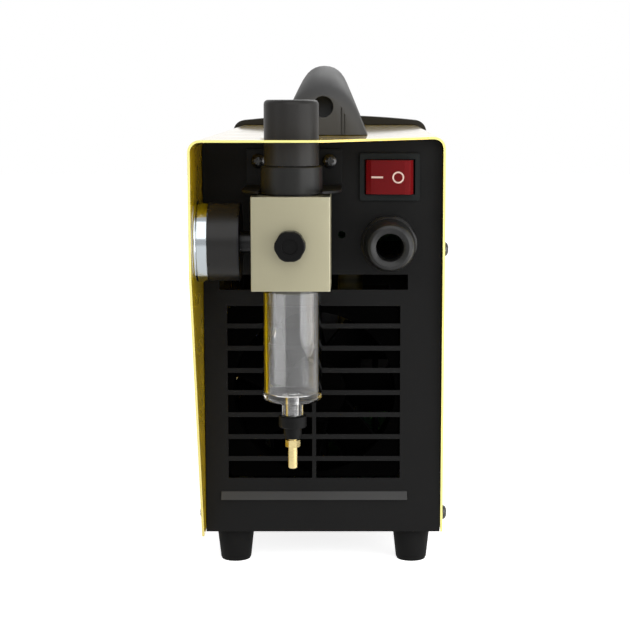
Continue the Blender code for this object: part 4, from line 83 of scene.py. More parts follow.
# The switch's rocker and its marks
ROCKER_TILT = radians(-9)
ROCKER_PIVOT = (35.5 * MM, 0.1 * MM, 191.5 * MM)  # x, y from the panel, z from its bottom
ROCKER_FACE = 6.3 * MM  # from its pivot
MARK_LIFT = 0.06 * MM
MARK_SUNK = 0.15 * MM
DASH_X = -5.75 * MM
DASH_LENGTH = 6.2 * MM
DASH_WIDTH = 0.95 * MM
CIRCLE_X = 5.35 * MM
CIRCLE_OUTER = 3.1 * MM
CIRCLE_INNER = 2.3 * MM

# The rolled lip of the gauge's ring
LIP_INNER = 17.4 * MM
LIP_DEPTH = 1.7 * MM
LIP_ROUND = 0.8 * MM
LIP_STEPS = 4  # in each of its two rounds
LIP_SEGMENTS = 72

# Both scales
TICK_HEIGHT = 0.08 * MM
NUMBER_SIZE = 3.4 * MM
NUMBER_HEIGHT = 0.04 * MM

# The gauge's scale
GAUGE_SWEEP = radians(270)
GAUGE_START = radians(-45)
GAUGE_LAST = 10
TICKS_TO_A_UNIT = 5
GAUGE_TICK_END = 16.2 * MM  # from the dial's middle
LONG_TICK = (2.4 * MM, 0.45 * MM)  # length, width
SHORT_TICK = (1.3 * MM, 0.22 * MM)
GAUGE_LINE = (16.6 * MM, 16.3 * MM)  # the line round the ticks
GAUGE_NUMBER_RADIUS = 11.2 * MM

# The current knob's scale
CURRENT_SWEEP = radians(150)
CURRENT_STEPS = 10
FIRST_AMPS = 20
AMPS_A_STEP = 2
CURRENT_TICK_START = 16.0 * MM  # from the knob's middle
CURRENT_TICKS = (2.6 * MM, 1.6 * MM)  # lengths, at a number and between two
CURRENT_TICK_WIDTH = 0.5 * MM
CURRENT_NUMBER_RADIUS = 22.0 * MM

# The digits behind the display window
DIGIT_SPACING = 10.5 * MM
DIGIT_HALF_HEIGHT = 5.6 * MM
DIGIT_WIDTH = 5.2 * MM
STROKE_WIDTH = 0.9 * MM
STROKE_GAP = 1.2 * MM  # by which an upright stroke is shorter than half the height
STROKE_HEIGHT = 0.05 * MM

# Light
SKY_LEVEL = 0.30
FLOOR_SIZE = 8.0
FLOOR_ALBEDO = 0.80
FLOOR_LIFT = 0.83
UNIT_MIDDLE = (0.0, 0.0, 0.12)
SOFTBOXES = (  # name, place, width and height, watts, what it is aimed at
    ("key", (0.15, -1.35, 1.15), (1.4, 1.5), 14.0, (0.0, -0.2, 0.17)),
    # Near, level with the regulator and aimed at it
    ("right", (0.394, -0.356, 0.20), (0.54, 0.37), 2.3, (-0.014, -0.166, 0.20)),
    ("left", (-1.30, -0.90, 0.60), (0.7, 1.2), 3.0, UNIT_MIDDLE),
    ("front", (0.4, 1.5, 1.3), (1.2, 1.0), 7.0, UNIT_MIDDLE),
)

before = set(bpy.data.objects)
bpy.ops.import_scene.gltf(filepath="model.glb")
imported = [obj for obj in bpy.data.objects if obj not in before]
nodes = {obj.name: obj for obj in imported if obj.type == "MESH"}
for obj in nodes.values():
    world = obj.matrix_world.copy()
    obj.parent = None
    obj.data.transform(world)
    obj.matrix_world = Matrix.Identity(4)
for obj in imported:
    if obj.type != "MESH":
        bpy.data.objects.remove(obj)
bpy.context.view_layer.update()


def corners(node):
    low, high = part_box(node)
    return Vector(low), Vector(high)


PANEL_Y = corners("regulator_bracket")[1].y + BRACKET_GAP
PANEL_BOTTOM = corners("rear_panel")[0].z


# --- Shader building blocks -------------------------------------------------------------
def srgb(red, green, blue):
    """The linear colour of a screen colour from 0 to 255."""
    linear = []
    for value in (red / 255, green / 255, blue / 255):
        low = value / 12.92
        linear.append(low if value <= 0.04045 else ((value + 0.055) / 1.055) ** 2.4)
    return (*linear, 1.0)


def shade(colour, factor):
    return tuple(min(1.0, value * factor) for value in colour[:3]) + (1.0,)


class Surface:
    """A principled shader with helpers that add textures to it."""

    def __init__(self, name):
        self.material = bpy.data.materials.new(name)
        self.material.use_nodes = True
        self.tree = self.material.node_tree
        self.tree.nodes.clear()
        output = self.node("ShaderNodeOutputMaterial")
        self.shader = self.node("ShaderNodeBsdfPrincipled")
        self.link(self.shader.outputs["BSDF"], output.inputs["Surface"])
        self.place = self.node("ShaderNodeTexCoord").outputs["Object"]
        self.base = None  # the blotched colour, once there is one

    def node(self, kind):
        return self.tree.nodes.new(kind)

    def link(self, start, end):
        self.tree.links.new(start, end)

    def put(self, value, socket):
        """Link an output into a socket, or set a plain value on it."""
        if isinstance(value, (int, float, tuple)):
            socket.default_value = value
        else:
            self.link(value, socket)

    def set(self, **values):
        for name, value in values.items():
            self.shader.inputs[name.replace("_", " ")].default_value = value

    def colour(self, value):
        self.link(value, self.shader.inputs["Base Color"])

    def noise(self, scale, detail=3.0, stretch=None):
        texture = self.node("ShaderNodeTexNoise")
        texture.inputs["Scale"].default_value = scale
        texture.inputs["Detail"].default_value = detail
        place = self.place
        if stretch:
            mapping = self.node("ShaderNodeMapping")
            mapping.inputs["Scale"].default_value = stretch
            self.link(place, mapping.inputs["Vector"])
            place = mapping.outputs["Vector"]
        self.link(place, texture.inputs["Vector"])
        return texture.outputs["Fac"]

    def cells(self, scale, feature):
        """The distance to the middles or to the edges of irregular cells."""
        texture = self.node("ShaderNodeTexVoronoi")
        texture.feature = feature
        texture.inputs["Scale"].default_value = scale
        self.link(self.place, texture.inputs["Vector"])
        return texture.outputs["Distance"]

    def spread(self, value, start, end, low=0.3, high=0.7):
        """Map a value from one span to another, and hold it at the ends."""
        spread = self.node("ShaderNodeMapRange")
        spread.inputs["From Min"].default_value = low
        spread.inputs["From Max"].default_value = high
        spread.inputs["To Min"].default_value = start
        spread.inputs["To Max"].default_value = end
        self.link(value, spread.inputs["Value"])
        return spread.outputs["Result"]

    def mix(self, factor, first, second):
        """A mix of two colours, whose sockets only their numbers tell apart."""
        mix = self.node("ShaderNodeMix")
        mix.data_type = "RGBA"
        self.link(factor, mix.inputs["Factor"])
        self.put(first, mix.inputs[6])
        self.put(second, mix.inputs[7])
        return mix.outputs[2]

    def maths(self, operation, first, second=0.0):
        node = self.node("ShaderNodeMath")
        node.operation = operation
        self.put(first, node.inputs[0])
        self.put(second, node.inputs[1])
        return node.outputs["Value"]

    def axis(self, letter, vector=None):
        split = self.node("ShaderNodeSeparateXYZ")
        self.link(vector or self.place, split.inputs["Vector"])
        return split.outputs[letter]

    def beyond(self, letter, level, blend=0.02 * MM):
        """0 up to a level along an axis, 1 past it."""
        return self.spread(self.axis(letter), 0.0, 1.0, level, level + blend)

    def direction(self):
        return self.node("ShaderNodeNewGeometry").outputs["Normal"]

    def rounded(self, radius):
        """The surface's direction with its edges rounded."""
        bevel = self.node("ShaderNodeBevel")
        bevel.samples = BEVEL_SAMPLES
        bevel.inputs["Radius"].default_value = radius
        return bevel.outputs["Normal"]

    def edges(self, radius):
        """1 on edges, 0 on flat faces."""
        dot = self.node("ShaderNodeVectorMath")
        dot.operation = "DOT_PRODUCT"
        self.link(self.rounded(radius), dot.inputs[0])
        self.link(self.direction(), dot.inputs[1])
        return self.spread(dot.outputs["Value"], 1.0, 0.0, EDGE_COSINE, FLAT_COSINE)

    def bump(self, height, depth, normal=None):
        bump = self.node("ShaderNodeBump")
        bump.inputs["Distance"].default_value = depth
        self.link(height, bump.inputs["Height"])
        if normal:
            self.link(normal, bump.inputs["Normal"])
        return bump.outputs["Normal"]


def finish(
    name,
    colour,
    roughness,
    tint=0.06,
    smudge=0.05,
    grain=900.0,
    grain_depth=0.02 * MM,
    brushed=None,
    edge=0.25 * MM,
    wear=None,
    worn=0.4,
    **values,
):
    """A surface with faint blotches, uneven gloss, a grain and softened edges."""
    surface = Surface(name)
    surface.set(**values)
    blotch = surface.noise(BLOTCH_SCALE, 4.0)
    base = surface.mix(blotch, shade(colour, 1 - tint), shade(colour, 1 + tint))
    # Lighter patches on the edges: wear, and on some finishes also a painted highlight
    if wear:
        patchy = surface.spread(surface.noise(WEAR_SCALE, 5.0), 0.5 * worn, worn)
        amount = surface.maths("MULTIPLY", surface.edges(1.5 * edge), patchy)
        base = surface.mix(amount, base, wear)
    surface.base = base
    surface.colour(base)
    gloss = surface.noise(GLOSS_SCALE, 5.0, brushed)
    gloss = surface.spread(gloss, max(0.02, roughness - smudge), roughness + smudge)
    surface.link(gloss, surface.shader.inputs["Roughness"])
    fine = surface.noise(grain, 2.0, brushed)
    normal = surface.bump(fine, grain_depth, surface.rounded(edge) if edge else None)
    surface.link(normal, surface.shader.inputs["Normal"])
    return surface


# --- Finishes ---------------------------------------------------------------------------
def plastic(name, colour, roughness, specular=0.4, **values):
    return finish(name, colour, roughness, Specular_IOR_Level=specular, **values).material


def metal(name, colour, roughness, turned_round=None, grain_depth=0.012 * MM):
    """Metal with the fine rings of its making."""
    return finish(
        name,
        colour,
        roughness,
        tint=0.05,
        grain=METAL_GRAIN,
        grain_depth=grain_depth,
        brushed=BRUSHED.get(turned_round),
        Metallic=1.0,
    ).material


def clear_finish(name, colour, clear, roughness=0.01):
    """Moulded clear plastic with a little haze."""
    surface = Surface(name)
    surface.set(Transmission_Weight=clear, IOR=1.45, Specular_IOR_Level=0.5)
    haze = surface.noise(70.0)
    surface.colour(surface.mix(haze, shade(colour, 0.97), colour))
    gloss = surface.spread(surface.noise(120.0, 4.0), roughness, 2.0 * roughness)
    surface.link(gloss, surface.shader.inputs["Roughness"])
    return surface.material


def yellow_enamel():
    """Glossy paint, with a painted highlight in light yellow on the sheet's ends and a little
    on its other edges.
    """
    surface = finish(
        "yellow_enamel",
        YELLOW,
        0.30,
        tint=0.03,
        grain=520.0,
        grain_depth=0.004 * MM,
        edge=0.35 * MM,
        Coat_Weight=1.0,
        Coat_Roughness=0.06,
    )
    # Painted highlight: light yellow on the sheet's rear-facing ends and, more faintly, on its
    # other edges
    rearward = surface.maths("ABSOLUTE", surface.axis("Y", surface.direction()))
    rim = surface.spread(rearward, 0.0, 1.0, 0.84, 0.98)
    worn = surface.maths("MULTIPLY", surface.edges(0.6 * MM), 0.35)
    painted_highlight = surface.maths("MAXIMUM", rim, worn)
    surface.colour(surface.mix(painted_highlight, surface.base, HIGHLIGHT_YELLOW))
    return surface.material


def rear_sheet(colour, sheet):
    """The sheet's black paint, with a grey painted highlight on the louvre that stands out of
    it and faces up into the light.
    """
    surface = finish(
        "rear_sheet",
        colour,
        0.52,
        tint=sheet["tint"],
        grain=sheet["grain"],
        Specular_IOR_Level=sheet["specular"],
    )
    # Painted highlight: the louvre's face, out past the panel's face, is grey because it faces
    # up into the light
    start = PANEL_Y - LOUVRE_START
    face = surface.beyond("Y", start, 0.2 * MM)
    surface.colour(surface.mix(face, srgb(58, 58, 58), surface.base))
    return surface.material


def drain_finish():
    """Brass below the drain's collar, and grey steel in the clear stem above it."""
    surface = finish(
        "drain_brass",
        srgb(186, 172, 122),
        0.26,
        brushed=BRUSHED["Z"],
        grain=METAL_GRAIN,
        Metallic=1.0,
    )
    brass = surface.mix(surface.noise(60.0), srgb(176, 160, 112), srgb(196, 180, 132))
    above = surface.beyond("Z", corners("drain_collar")[1].z)
    surface.colour(surface.mix(above, brass, srgb(86, 86, 86)))
    return surface.material


def gauge_finish():
    """Dark plastic, with painted shade that makes the stem between the case and the regulator
    near black.
    """
    surface = finish(
        "gauge_plastic", srgb(24, 23, 22), 0.30, Specular_IOR_Level=0.18, edge=0.2 * MM
    )
    case = surface.mix(surface.noise(40.0), srgb(22, 21, 20), srgb(26, 25, 24))
    # Painted shade: the stem behind the case lies in the regulator's shadow, so it is near
    # black
    stem_x = corners("regulator_body")[0].x - GAUGE_STEM_LENGTH
    stem = surface.beyond("X", stem_x, 0.1 * MM)
    surface.colour(surface.mix(stem, case, srgb(9, 9, 11)))
    return surface.material


def valve_finish():
    """A brass body with a black coil on it."""
    brass = srgb(190, 160, 96)
    black = srgb(14, 14, 16)
    surface = finish("valve_brass", brass, 0.4)
    coil = surface.beyond("Z", corners("solenoid_valve")[0].z + VALVE_BODY_HEIGHT)
    tone = surface.mix(coil, brass, black)
    blotch = surface.spread(surface.noise(90.0, 4.0), 0.0, 0.18)
    surface.colour(surface.mix(blotch, tone, shade(black, 0.5)))
    return surface.material


def circuit_finish():
    """Green laminate with a mesh of paler tracks, and dark parts standing on it."""
    surface = finish("circuit_finish", srgb(16, 74, 42), 0.42, grain=PRINTED_GRAIN, edge=0.0)
    cells = surface.cells(130.0, "DISTANCE_TO_EDGE")
    track = surface.spread(cells, 1.0, 0.0, 0.05, 0.09)
    board = surface.mix(track, srgb(16, 70, 40), srgb(38, 108, 60))
    top = corners("main_board")[0].z + BOARD_THICKNESS
    above = surface.beyond("Z", top + 0.2 * MM, 0.1 * MM)
    surface.colour(surface.mix(above, board, srgb(18, 20, 30)))
    return surface.material


def control_circuit_finish():
    """Green laminate with tinned joints."""
    green = srgb(16, 70, 40)
    surface = finish("control_circuit_finish", green, 0.45, grain=PRINTED_GRAIN, edge=0.0)
    joint = surface.spread(surface.cells(260.0, "F1"), 1.0, 0.0, 0.12, 0.16)
    surface.colour(surface.mix(joint, green, srgb(150, 152, 150)))
    return surface.material


def winding_finish():
    """Olive tape, in turns round the core, with dark ferrite beyond it."""
    low, high = corners("transformer")
    surface = finish("winding_finish", srgb(66, 60, 14), 0.5, grain=700.0, edge=0.0)
    turns = surface.node("ShaderNodeTexWave")
    turns.bands_direction = "Z"
    turns.inputs["Scale"].default_value = 55.0
    turns.inputs["Distortion"].default_value = 1.2
    surface.link(surface.place, turns.inputs["Vector"])
    tape = surface.mix(turns.outputs["Fac"], srgb(66, 60, 13), srgb(90, 81, 22))
    offset = surface.maths("SUBTRACT", surface.axis("X"), (low.x + high.x) / 2)
    offset = surface.maths("ABSOLUTE", offset)
    half = WINDING_HALF_WIDTH
    core = surface.spread(offset, 0.0, 1.0, half, half + 0.2 * MM)
    surface.colour(surface.mix(core, tape, srgb(24, 24, 26)))
    return surface.material


def make_finishes():
    black = srgb(8, 8, 8)
    sheet = dict(specular=0.12, grain=PRINTED_GRAIN, tint=0.08, wear=srgb(70, 70, 68))
    bezel_wear = srgb(84, 82, 78)
    # Light grey edge patches on the knob: partly edge wear and partly a painted highlight on
    # its top rim
    knob_wear_and_rim_highlight = srgb(128, 126, 122)
    return {
        "yellow": yellow_enamel(),
        "panel": plastic("black_sheet", black, 0.52, **sheet),
        "rear_panel": rear_sheet(black, sheet),
        "bracket": plastic("black_bracket", srgb(12, 12, 12), 0.42, 0.12),
        "bezel": plastic("bezel_plastic", srgb(34, 32, 27), 0.42, 0.12, wear=bezel_wear),
        "handle": plastic("handle_plastic", srgb(66, 66, 66), 0.50, 0.16, smudge=0.04),
        "knob": plastic("knob_plastic", srgb(37, 36, 35), 0.38, 0.13, wear=knob_wear_and_rim_highlight, worn=0.7),
        "bonnet": plastic("bonnet_plastic", srgb(27, 27, 26), 0.36, 0.15),
        "gland": plastic("gland_nylon", srgb(27, 27, 27), 0.32, 0.22),
        "gauge": gauge_finish(),
        "plug": plastic("plug_nylon", black, 0.33, 0.08),
        "switch": plastic("switch_plastic", srgb(22, 25, 25), 0.45, 0.10),
        "rocker": plastic("rocker_red", srgb(100, 10, 14), 0.30, 0.12, smudge=0.03),
        "mark": plastic("mark_white", srgb(222, 196, 186), 0.5),
        "collar": plastic("collar_nylon", srgb(9, 9, 9), 0.5, 0.10),
        "rubber": plastic("foot_rubber", srgb(19, 19, 19), 0.72, 0.08, grain=1300.0),
        "seal": plastic("seal_rubber", srgb(7, 7, 7), 0.8, 0.1),
        "screw": plastic("black_oxide", srgb(24, 24, 25), 0.24, 0.5),
        "zinc": metal("zinc_plate", srgb(196, 198, 200), 0.34),
        "block": plastic(
            "beige_enamel",
            srgb(150, 145, 120),
            0.34,
            0.45,
            tint=0.025,
            grain=420.0,
            grain_depth=0.03 * MM,
            edge=0.5 * MM,
            wear=srgb(206, 202, 180),
            Metallic=0.25,
        ),
        "clear": clear_finish("bowl_clear", srgb(246, 246, 246), 1.0),
        "lens": clear_finish("lens_clear", srgb(246, 248, 248), 0.985),
        "window": clear_finish("window_smoked", srgb(66, 58, 56), 0.75, 0.04),
        "filter": plastic("filter_mesh", srgb(196, 194, 186), 0.9, grain=1400.0),
        "brass": drain_finish(),
        "brass_front": metal("brass_front", srgb(226, 190, 112), 0.26, "Y"),
        "chrome": metal("chrome_ring", srgb(160, 166, 170), 0.14, grain_depth=0.003 * MM),
        "dial": plastic("dial_card", srgb(236, 236, 232), 0.6, 0.3),
        "ink": plastic("dial_ink", srgb(22, 22, 24), 0.6, 0.2),
        "pointer": plastic("pointer_black", srgb(18, 18, 18), 0.5, 0.3),
        "digits": plastic("digit_grey", srgb(78, 60, 58), 0.5),
        # Black plastic, darkened further as painted shade for the dark inside of the closed
        # case
        "fan": plastic("fan_plastic", srgb(3, 3, 3), 0.7, 0.0),
        "dark_metal": metal("anodised_black", srgb(12, 12, 13), 0.6, "Z"),
        "circuit": circuit_finish(),
        "control_circuit": control_circuit_finish(),
        "winding": winding_finish(),
        "valve": valve_finish(),
        "hose": plastic("hose_blue", srgb(12, 34, 96), 0.3),
    }


# The nodes that have each finish, apart from the screws and the feet
NODES_BY_FINISH = {
    "yellow": ["cover"],
    "panel": ["front_panel", "base_tray"],
    "rear_panel": ["rear_panel"],
    "bracket": ["regulator_bracket"],
    "bezel": ["front_bezel"],
    "handle": ["handle"],
    "knob": ["pressure_knob", "current_knob"],
    "bonnet": ["regulator_bonnet"],
    "gland": ["gland_body", "gland_cap", "gland_locknut"],
    "seal": ["gland_seal"],
    "gauge": ["gauge_case"],
    "plug": ["inlet_plug"],
    "switch": ["switch_housing"],
    "rocker": ["switch_rocker"],
    "collar": ["drain_collar"],
    "block": ["regulator_body"],
    "clear": ["bowl"],
    "lens": ["gauge_lens"],
    "window": ["display_window"],
    "filter": ["filter_element"],
    "brass": ["drain_valve", "outlet_nipple"],
    "brass_front": ["torch_connector"],
    "chrome": ["gauge_ring"],
    "dial": ["gauge_dial"],
    "pointer": ["gauge_pointer", "earth_socket"],
    "fan": ["fan_frame", "fan_rotor"],
    "dark_metal": ["heatsink"],
    "circuit": ["main_board"],
    "control_circuit": ["control_board"],
    "winding": ["transformer"],
    "valve": ["solenoid_valve"],
    "hose": ["air_hose"],
    "zinc": ["adjusting_screw"],
}
FINISH_BY_NODE = {node: name for name, members in NODES_BY_FINISH.items() for node in members}


def finish_name(node):
    if node.startswith("foot_screw"):
        return "zinc"
    if "_screw_" in node:
        return "screw"
    if node.startswith("foot_"):
        return "rubber"
    return FINISH_BY_NODE[node]


def smoothing(sharpest):
    """Shade a mesh smooth, except across edges that bend more than this."""
    tree = bpy.data.node_groups.new("smoothing", "GeometryNodeTree")
    for in_out in ("INPUT", "OUTPUT"):
        tree.interface.new_socket("Geometry", in_out=in_out, socket_type="NodeSocketGeometry")
    start = tree.nodes.new("NodeGroupInput")
    end = tree.nodes.new("NodeGroupOutput")
    plain = tree.nodes.new("GeometryNodeRemoveAttribute")
    plain.inputs["Name"].default_value = "custom_normal"
    merge = tree.nodes.new("GeometryNodeMergeByDistance")
    merge.inputs["Distance"].default_value = MERGE_DISTANCE
    smooth = tree.nodes.new("GeometryNodeSetShadeSmooth")
    smooth.domain = "FACE"
    sharp = tree.nodes.new("GeometryNodeSetShadeSmooth")
    sharp.domain = "EDGE"
    sharp.inputs["Shade Smooth"].default_value = False
    angle = tree.nodes.new("GeometryNodeInputMeshEdgeAngle")
    compare = tree.nodes.new("FunctionNodeCompare")
    compare.data_type = "FLOAT"
    compare.operation = "GREATER_THAN"
    compare.inputs["B"].default_value = sharpest
    tree.links.new(angle.outputs["Unsigned Angle"], compare.inputs["A"])
    tree.links.new(compare.outputs["Result"], sharp.inputs["Selection"])
    steps = (start, plain, merge, smooth, sharp, end)
    for first, second in zip(steps, steps[1:]):
        tree.links.new(first.outputs[0], second.inputs[0])
    return tree


def dress_nodes(finishes):
    """Give every node of the frame its finish and its shading."""
    smooth_curves = smoothing(CURVE_ANGLE)
    smooth_bends = smoothing(ROCKER_ANGLE)
    for node, obj in nodes.items():
        modifier = obj.modifiers.new("smooth", "NODES")
        modifier.node_group = smooth_bends if node == "switch_rocker" else smooth_curves
        if node in FLAT_SIDED:
            even = obj.modifiers.new("even", "WEIGHTED_NORMAL")
            even.keep_sharp = True
        material = finishes[finish_name(node)]
        for material_slot in obj.material_slots:
            material_slot.material = material
        if not obj.material_slots:
            obj.data.materials.append(material)


# --- Small pieces -----------------------------------------------------------------------
def add_mesh(name, mesh, turn, material, body):
    """A piece from a mesh, turned into place, riding on a body."""
    mesh.transform(turn)
    mesh.materials.clear()
    mesh.materials.append(material)
    piece = bpy.data.objects.new(name, mesh)
    bpy.context.scene.collection.objects.link(piece)
    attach(piece, body)
    return piece


def add_piece(name, bm, turn, material, body):
    bmesh.ops.recalc_face_normals(bm, faces=bm.faces)
    mesh = bpy.data.meshes.new(name)
    bm.to_mesh(mesh)
    bm.free()
    return add_mesh(name, mesh, turn, material, body)


def add_number(name, number, spot, turn, material):
    """A plain number, as a thin raised mesh."""
    curve = bpy.data.curves.new(name, "FONT")
    curve.body = str(number)
    curve.size = NUMBER_SIZE
    curve.align_x = "CENTER"
    curve.align_y = "CENTER"
    curve.extrude = NUMBER_HEIGHT
    curve.resolution_u = 3
    holder = bpy.data.objects.new(name + "_text", curve)
    bpy.context.scene.collection.objects.link(holder)
    bpy.context.view_layer.update()
    graph = bpy.context.evaluated_depsgraph_get()
    mesh = bpy.data.meshes.new_from_object(holder.evaluated_get(graph))
    bpy.data.objects.remove(holder)
    mesh.name = name
    add_mesh(name, mesh, turn @ Matrix.Translation((*spot, 0.0)), material, "case")


def add_slab(bm, outline, bottom, top):
    """A flat plate with the given outline, from one height to another."""
    low = [bm.verts.new((x, y, bottom)) for x, y in outline]
    high = [bm.verts.new((x, y, top)) for x, y in outline]
    bm.faces.new(low[::-1])
    bm.faces.new(high)
    for i in range(len(outline)):
        j = (i + 1) % len(outline)
        bm.faces.new((low[i], low[j], high[j], high[i]))


def around(radius, angle):
    return (radius * cos(angle), radius * sin(angle))


def add_turned(bm, profile, segments, centre=(0.0, 0.0)):
    """A closed profile of radii and heights, turned round the local z."""
    rows = []
    for i in range(segments):
        angle = 2 * pi * i / segments
        row = []
        for radius, height in profile:
            x, y = around(radius, angle)
            row.append(bm.verts.new((centre[0] + x, centre[1] + y, height)))
        rows.append(row)
    for row, following in zip(rows, rows[1:] + rows[:1]):
        for i in range(len(profile)):
            j = (i + 1) % len(profile)
            bm.faces.new((row[i], row[j], following[j], following[i]))


def add_ring(bm, outer, inner, bottom, top, centre=(0.0, 0.0), segments=36):
    """A flat ring."""
    profile = ((outer, bottom), (outer, top), (inner, top), (inner, bottom))
    add_turned(bm, profile, segments, centre)


def bar(centre, length, width, angle=0.0):
    """The outline of a straight stroke."""
    along = Vector((cos(angle), sin(angle)))
    across = Vector((-along.y, along.x))
    middle = Vector(centre)
    points = []
    for a, b in ((-1, -1), (1, -1), (1, 1), (-1, 1)):
        point = middle + along * (a * length / 2) + across * (b * width / 2)
        points.append((point.x, point.y))
    return points


def facing(origin, right, up):
    """Local x to the reader's right, y up and z towards the reader."""
    right = Vector(right)
    up = Vector(up)
    out = right.cross(up)
    columns = Matrix((right, up, out)).transposed().to_4x4()
    return Matrix.Translation(origin) @ columns


def facing_left(node):
    """For a piece on the left side of a node."""
    low, high = corners(node)
    middle = (low + high) / 2
    return facing(Vector((low.x, middle.y, middle.z)), (0, -1, 0), (0, 0, 1))


def add_switch_marks(finishes):
    """A dash and a circle on the rocker's face."""
    x, y, z = ROCKER_PIVOT
    pivot = Vector((x, PANEL_Y + y, PANEL_BOTTOM + z))
    tilt = Matrix.Rotation(ROCKER_TILT, 4, "Z")
    face = facing(Vector((0.0, -ROCKER_FACE, 0.0)), (1, 0, 0), (0, 0, 1))
    turn = Matrix.Translation(pivot) @ tilt @ face
    dash = bmesh.new()
    add_slab(dash, bar((DASH_X, 0.0), DASH_LENGTH, DASH_WIDTH), -MARK_SUNK, MARK_LIFT)
    add_piece("rocker_mark_on", dash, turn, finishes["mark"], "rocker")
    circle = bmesh.new()
    add_ring(circle, CIRCLE_OUTER, CIRCLE_INNER, -MARK_SUNK, MARK_LIFT, (CIRCLE_X, 0.0))
    add_piece("rocker_mark_off", circle, turn, finishes["mark"], "rocker")


def gauge_angle(value):
    return pi - GAUGE_START - GAUGE_SWEEP * value / GAUGE_LAST


def add_gauge_scale(finishes):
    """Ticks and plain numbers on the dial, which faces left."""
    ink = finishes["ink"]
    turn = facing_left("gauge_dial")
    ticks = bmesh.new()
    for i in range(TICKS_TO_A_UNIT * GAUGE_LAST + 1):
        angle = gauge_angle(i / TICKS_TO_A_UNIT)
        length, width = SHORT_TICK if i % TICKS_TO_A_UNIT else LONG_TICK
        spot = around(GAUGE_TICK_END - length / 2, angle)
        add_slab(ticks, bar(spot, length, width, angle), 0.0, TICK_HEIGHT)
    add_ring(ticks, *GAUGE_LINE, 0.0, TICK_HEIGHT, segments=64)
    add_piece("gauge_scale", ticks, turn, ink, "case")
    for value in range(0, GAUGE_LAST + 1, 2):
        spot = around(GAUGE_NUMBER_RADIUS, gauge_angle(value))
        add_number(f"gauge_number_{value}", value, spot, turn, ink)


def add_gauge_lip(finishes):
    """The ring's rolled lip, which reaches almost to the window in the left wall."""
    low, high = corners("gauge_ring")
    outer_middle = (high.z - low.z) / 2 - LIP_ROUND
    inner_middle = LIP_INNER + LIP_ROUND
    profile = []
    for middle, start in ((outer_middle, 0.0), (inner_middle, pi / 2)):
        for i in range(LIP_STEPS + 1):
            across, out = around(LIP_ROUND, start + pi / 2 * i / LIP_STEPS)
            profile.append((middle + across, LIP_DEPTH - LIP_ROUND + out))
    profile = [(profile[0][0], 0.0), *profile, (profile[-1][0], 0.0)]
    bm = bmesh.new()
    add_turned(bm, profile, LIP_SEGMENTS)
    turn = facing_left("gauge_ring")
    lip = add_piece("gauge_lip", bm, turn, finishes["chrome"], "case")
    lip.data.shade_smooth()


def add_current_scale(finishes):
    """Ticks and numbers round the current knob, on the front panel."""
    white = finishes["dial"]
    low, high = corners("current_knob")
    middle = (low + high) / 2
    face = corners("front_panel")[1].y
    turn = facing(Vector((middle.x, face, middle.z)), (-1, 0, 0), (0, 0, 1))
    ticks = bmesh.new()
    angles = []
    for i in range(CURRENT_STEPS + 1):
        angle = pi / 2 + CURRENT_SWEEP - 2 * CURRENT_SWEEP * i / CURRENT_STEPS
        length = CURRENT_TICKS[i % 2]
        spot = around(CURRENT_TICK_START + length / 2, angle)
        add_slab(ticks, bar(spot, length, CURRENT_TICK_WIDTH, angle), 0.0, TICK_HEIGHT)
        angles.append(angle)
    add_piece("current_scale", ticks, turn, white, "case")
    for i in range(0, CURRENT_STEPS + 1, 2):
        spot = around(CURRENT_NUMBER_RADIUS, angles[i])
        number = FIRST_AMPS + AMPS_A_STEP * i
        add_number(f"current_number_{i}", number, spot, turn, white)


def add_digits(finishes):
    """Three unlit seven-part digits behind the display window."""
    low, high = corners("display_window")
    middle = (low + high) / 2
    turn = facing(Vector((middle.x, high.y, middle.z)), (-1, 0, 0), (0, 0, 1))
    upright = DIGIT_HALF_HEIGHT - STROKE_GAP
    bm = bmesh.new()
    for column in (-1, 0, 1):
        x = column * DIGIT_SPACING
        strokes = []
        for level in (-1, 0, 1):
            strokes.append(bar((x, level * DIGIT_HALF_HEIGHT), DIGIT_WIDTH, STROKE_WIDTH))
        for side in (-1, 1):
            for level in (-0.5, 0.5):
                spot = (x + side * DIGIT_WIDTH / 2, level * DIGIT_HALF_HEIGHT)
                strokes.append(bar(spot, upright, STROKE_WIDTH, pi / 2))
        for stroke in strokes:
            add_slab(bm, stroke, 0.0, STROKE_HEIGHT)
    add_piece("display_digits", bm, turn, finishes["digits"], "case")


# --- Studio -----------------------------------------------------------------------------
def strength_by_ray(tree, hidden, seen):
    """One strength for light, another where the camera sees it, in gloss or glass too."""
    path = tree.nodes.new("ShaderNodeLightPath")
    total = path.outputs["Is Camera Ray"]
    for name in ("Is Glossy Ray", "Is Transmission Ray"):
        larger = tree.nodes.new("ShaderNodeMath")
        larger.operation = "MAXIMUM"
        tree.links.new(total, larger.inputs[0])
        tree.links.new(path.outputs[name], larger.inputs[1])
        total = larger.outputs["Value"]
    spread = tree.nodes.new("ShaderNodeMapRange")
    spread.inputs["To Min"].default_value = hidden
    spread.inputs["To Max"].default_value = seen
    tree.links.new(total, spread.inputs["Value"])
    return spread.outputs["Result"]


def add_sky():
    world = bpy.data.worlds.new("studio")
    bpy.context.scene.world = world
    world.use_nodes = True
    tree = world.node_tree
    background = tree.nodes["Background"]
    background.inputs["Color"].default_value = WHITE
    tree.links.new(strength_by_ray(tree, SKY_LEVEL, 1.0), background.inputs["Strength"])


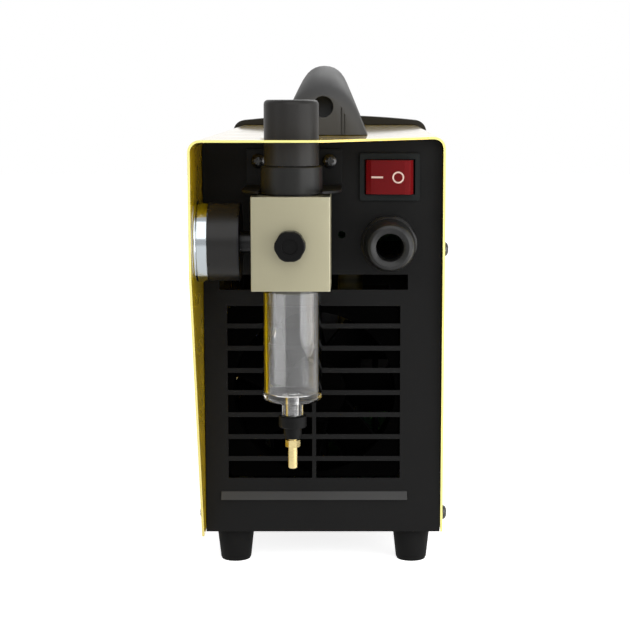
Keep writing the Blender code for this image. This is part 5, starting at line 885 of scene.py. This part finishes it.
def add_floor():
    """Pale paper, lifted to white where the camera sees it, with the unit's shadow on it."""
    mesh = bpy.data.meshes.new("floor")
    half = FLOOR_SIZE / 2
    points = [(-half, -half, 0.0), (half, -half, 0.0), (half, half, 0.0), (-half, half, 0.0)]
    mesh.from_pydata(points, [], [(0, 1, 2, 3)])
    floor = bpy.data.objects.new("floor", mesh)
    bpy.context.scene.collection.objects.link(floor)
    surface = Surface("floor_paper")
    surface.set(
        Base_Color=(FLOOR_ALBEDO, FLOOR_ALBEDO, FLOOR_ALBEDO, 1.0),
        Roughness=0.9,
        Specular_IOR_Level=0.0,
        Emission_Color=WHITE,
    )
    lift = strength_by_ray(surface.tree, 0.0, FLOOR_LIFT)
    surface.link(lift, surface.shader.inputs["Emission Strength"])
    mesh.materials.append(surface.material)


def add_softbox(name, location, size, power, target):
    data = bpy.data.lights.new(name, "AREA")
    data.shape = "RECTANGLE"
    data.size, data.size_y = size
    data.energy = power
    lamp = bpy.data.objects.new(name, data)
    lamp.location = location
    aim = Vector(target) - Vector(location)
    lamp.rotation_euler = aim.to_track_quat("-Z", "Y").to_euler()
    bpy.context.scene.collection.objects.link(lamp)


def add_camera():
    data = bpy.data.cameras.new("camera")
    data.sensor_width = SENSOR_WIDTH
    data.lens = FOCAL_PIXELS / IMAGE_SIZE * SENSOR_WIDTH
    data.shift_x = (IMAGE_SIZE / 2 - AXIS_PIXEL) / IMAGE_SIZE
    data.clip_start = CLIP_START
    camera = bpy.data.objects.new("camera", data)
    camera.location = (CAMERA_X, PANEL_Y - CAMERA_BEHIND, CAMERA_Z)
    camera.rotation_euler = (pi / 2 - atan(HORIZON_DROP / FOCAL_PIXELS), 0.0, 0.0)
    bpy.context.scene.collection.objects.link(camera)
    bpy.context.scene.camera = camera


add_camera()
finishes = make_finishes()
dress_nodes(finishes)
add_switch_marks(finishes)
add_gauge_scale(finishes)
add_gauge_lip(finishes)
add_current_scale(finishes)
add_digits(finishes)
add_sky()
add_floor()
for softbox in SOFTBOXES:
    add_softbox(*softbox)
bpy.context.scene.view_settings.view_transform = "Standard"
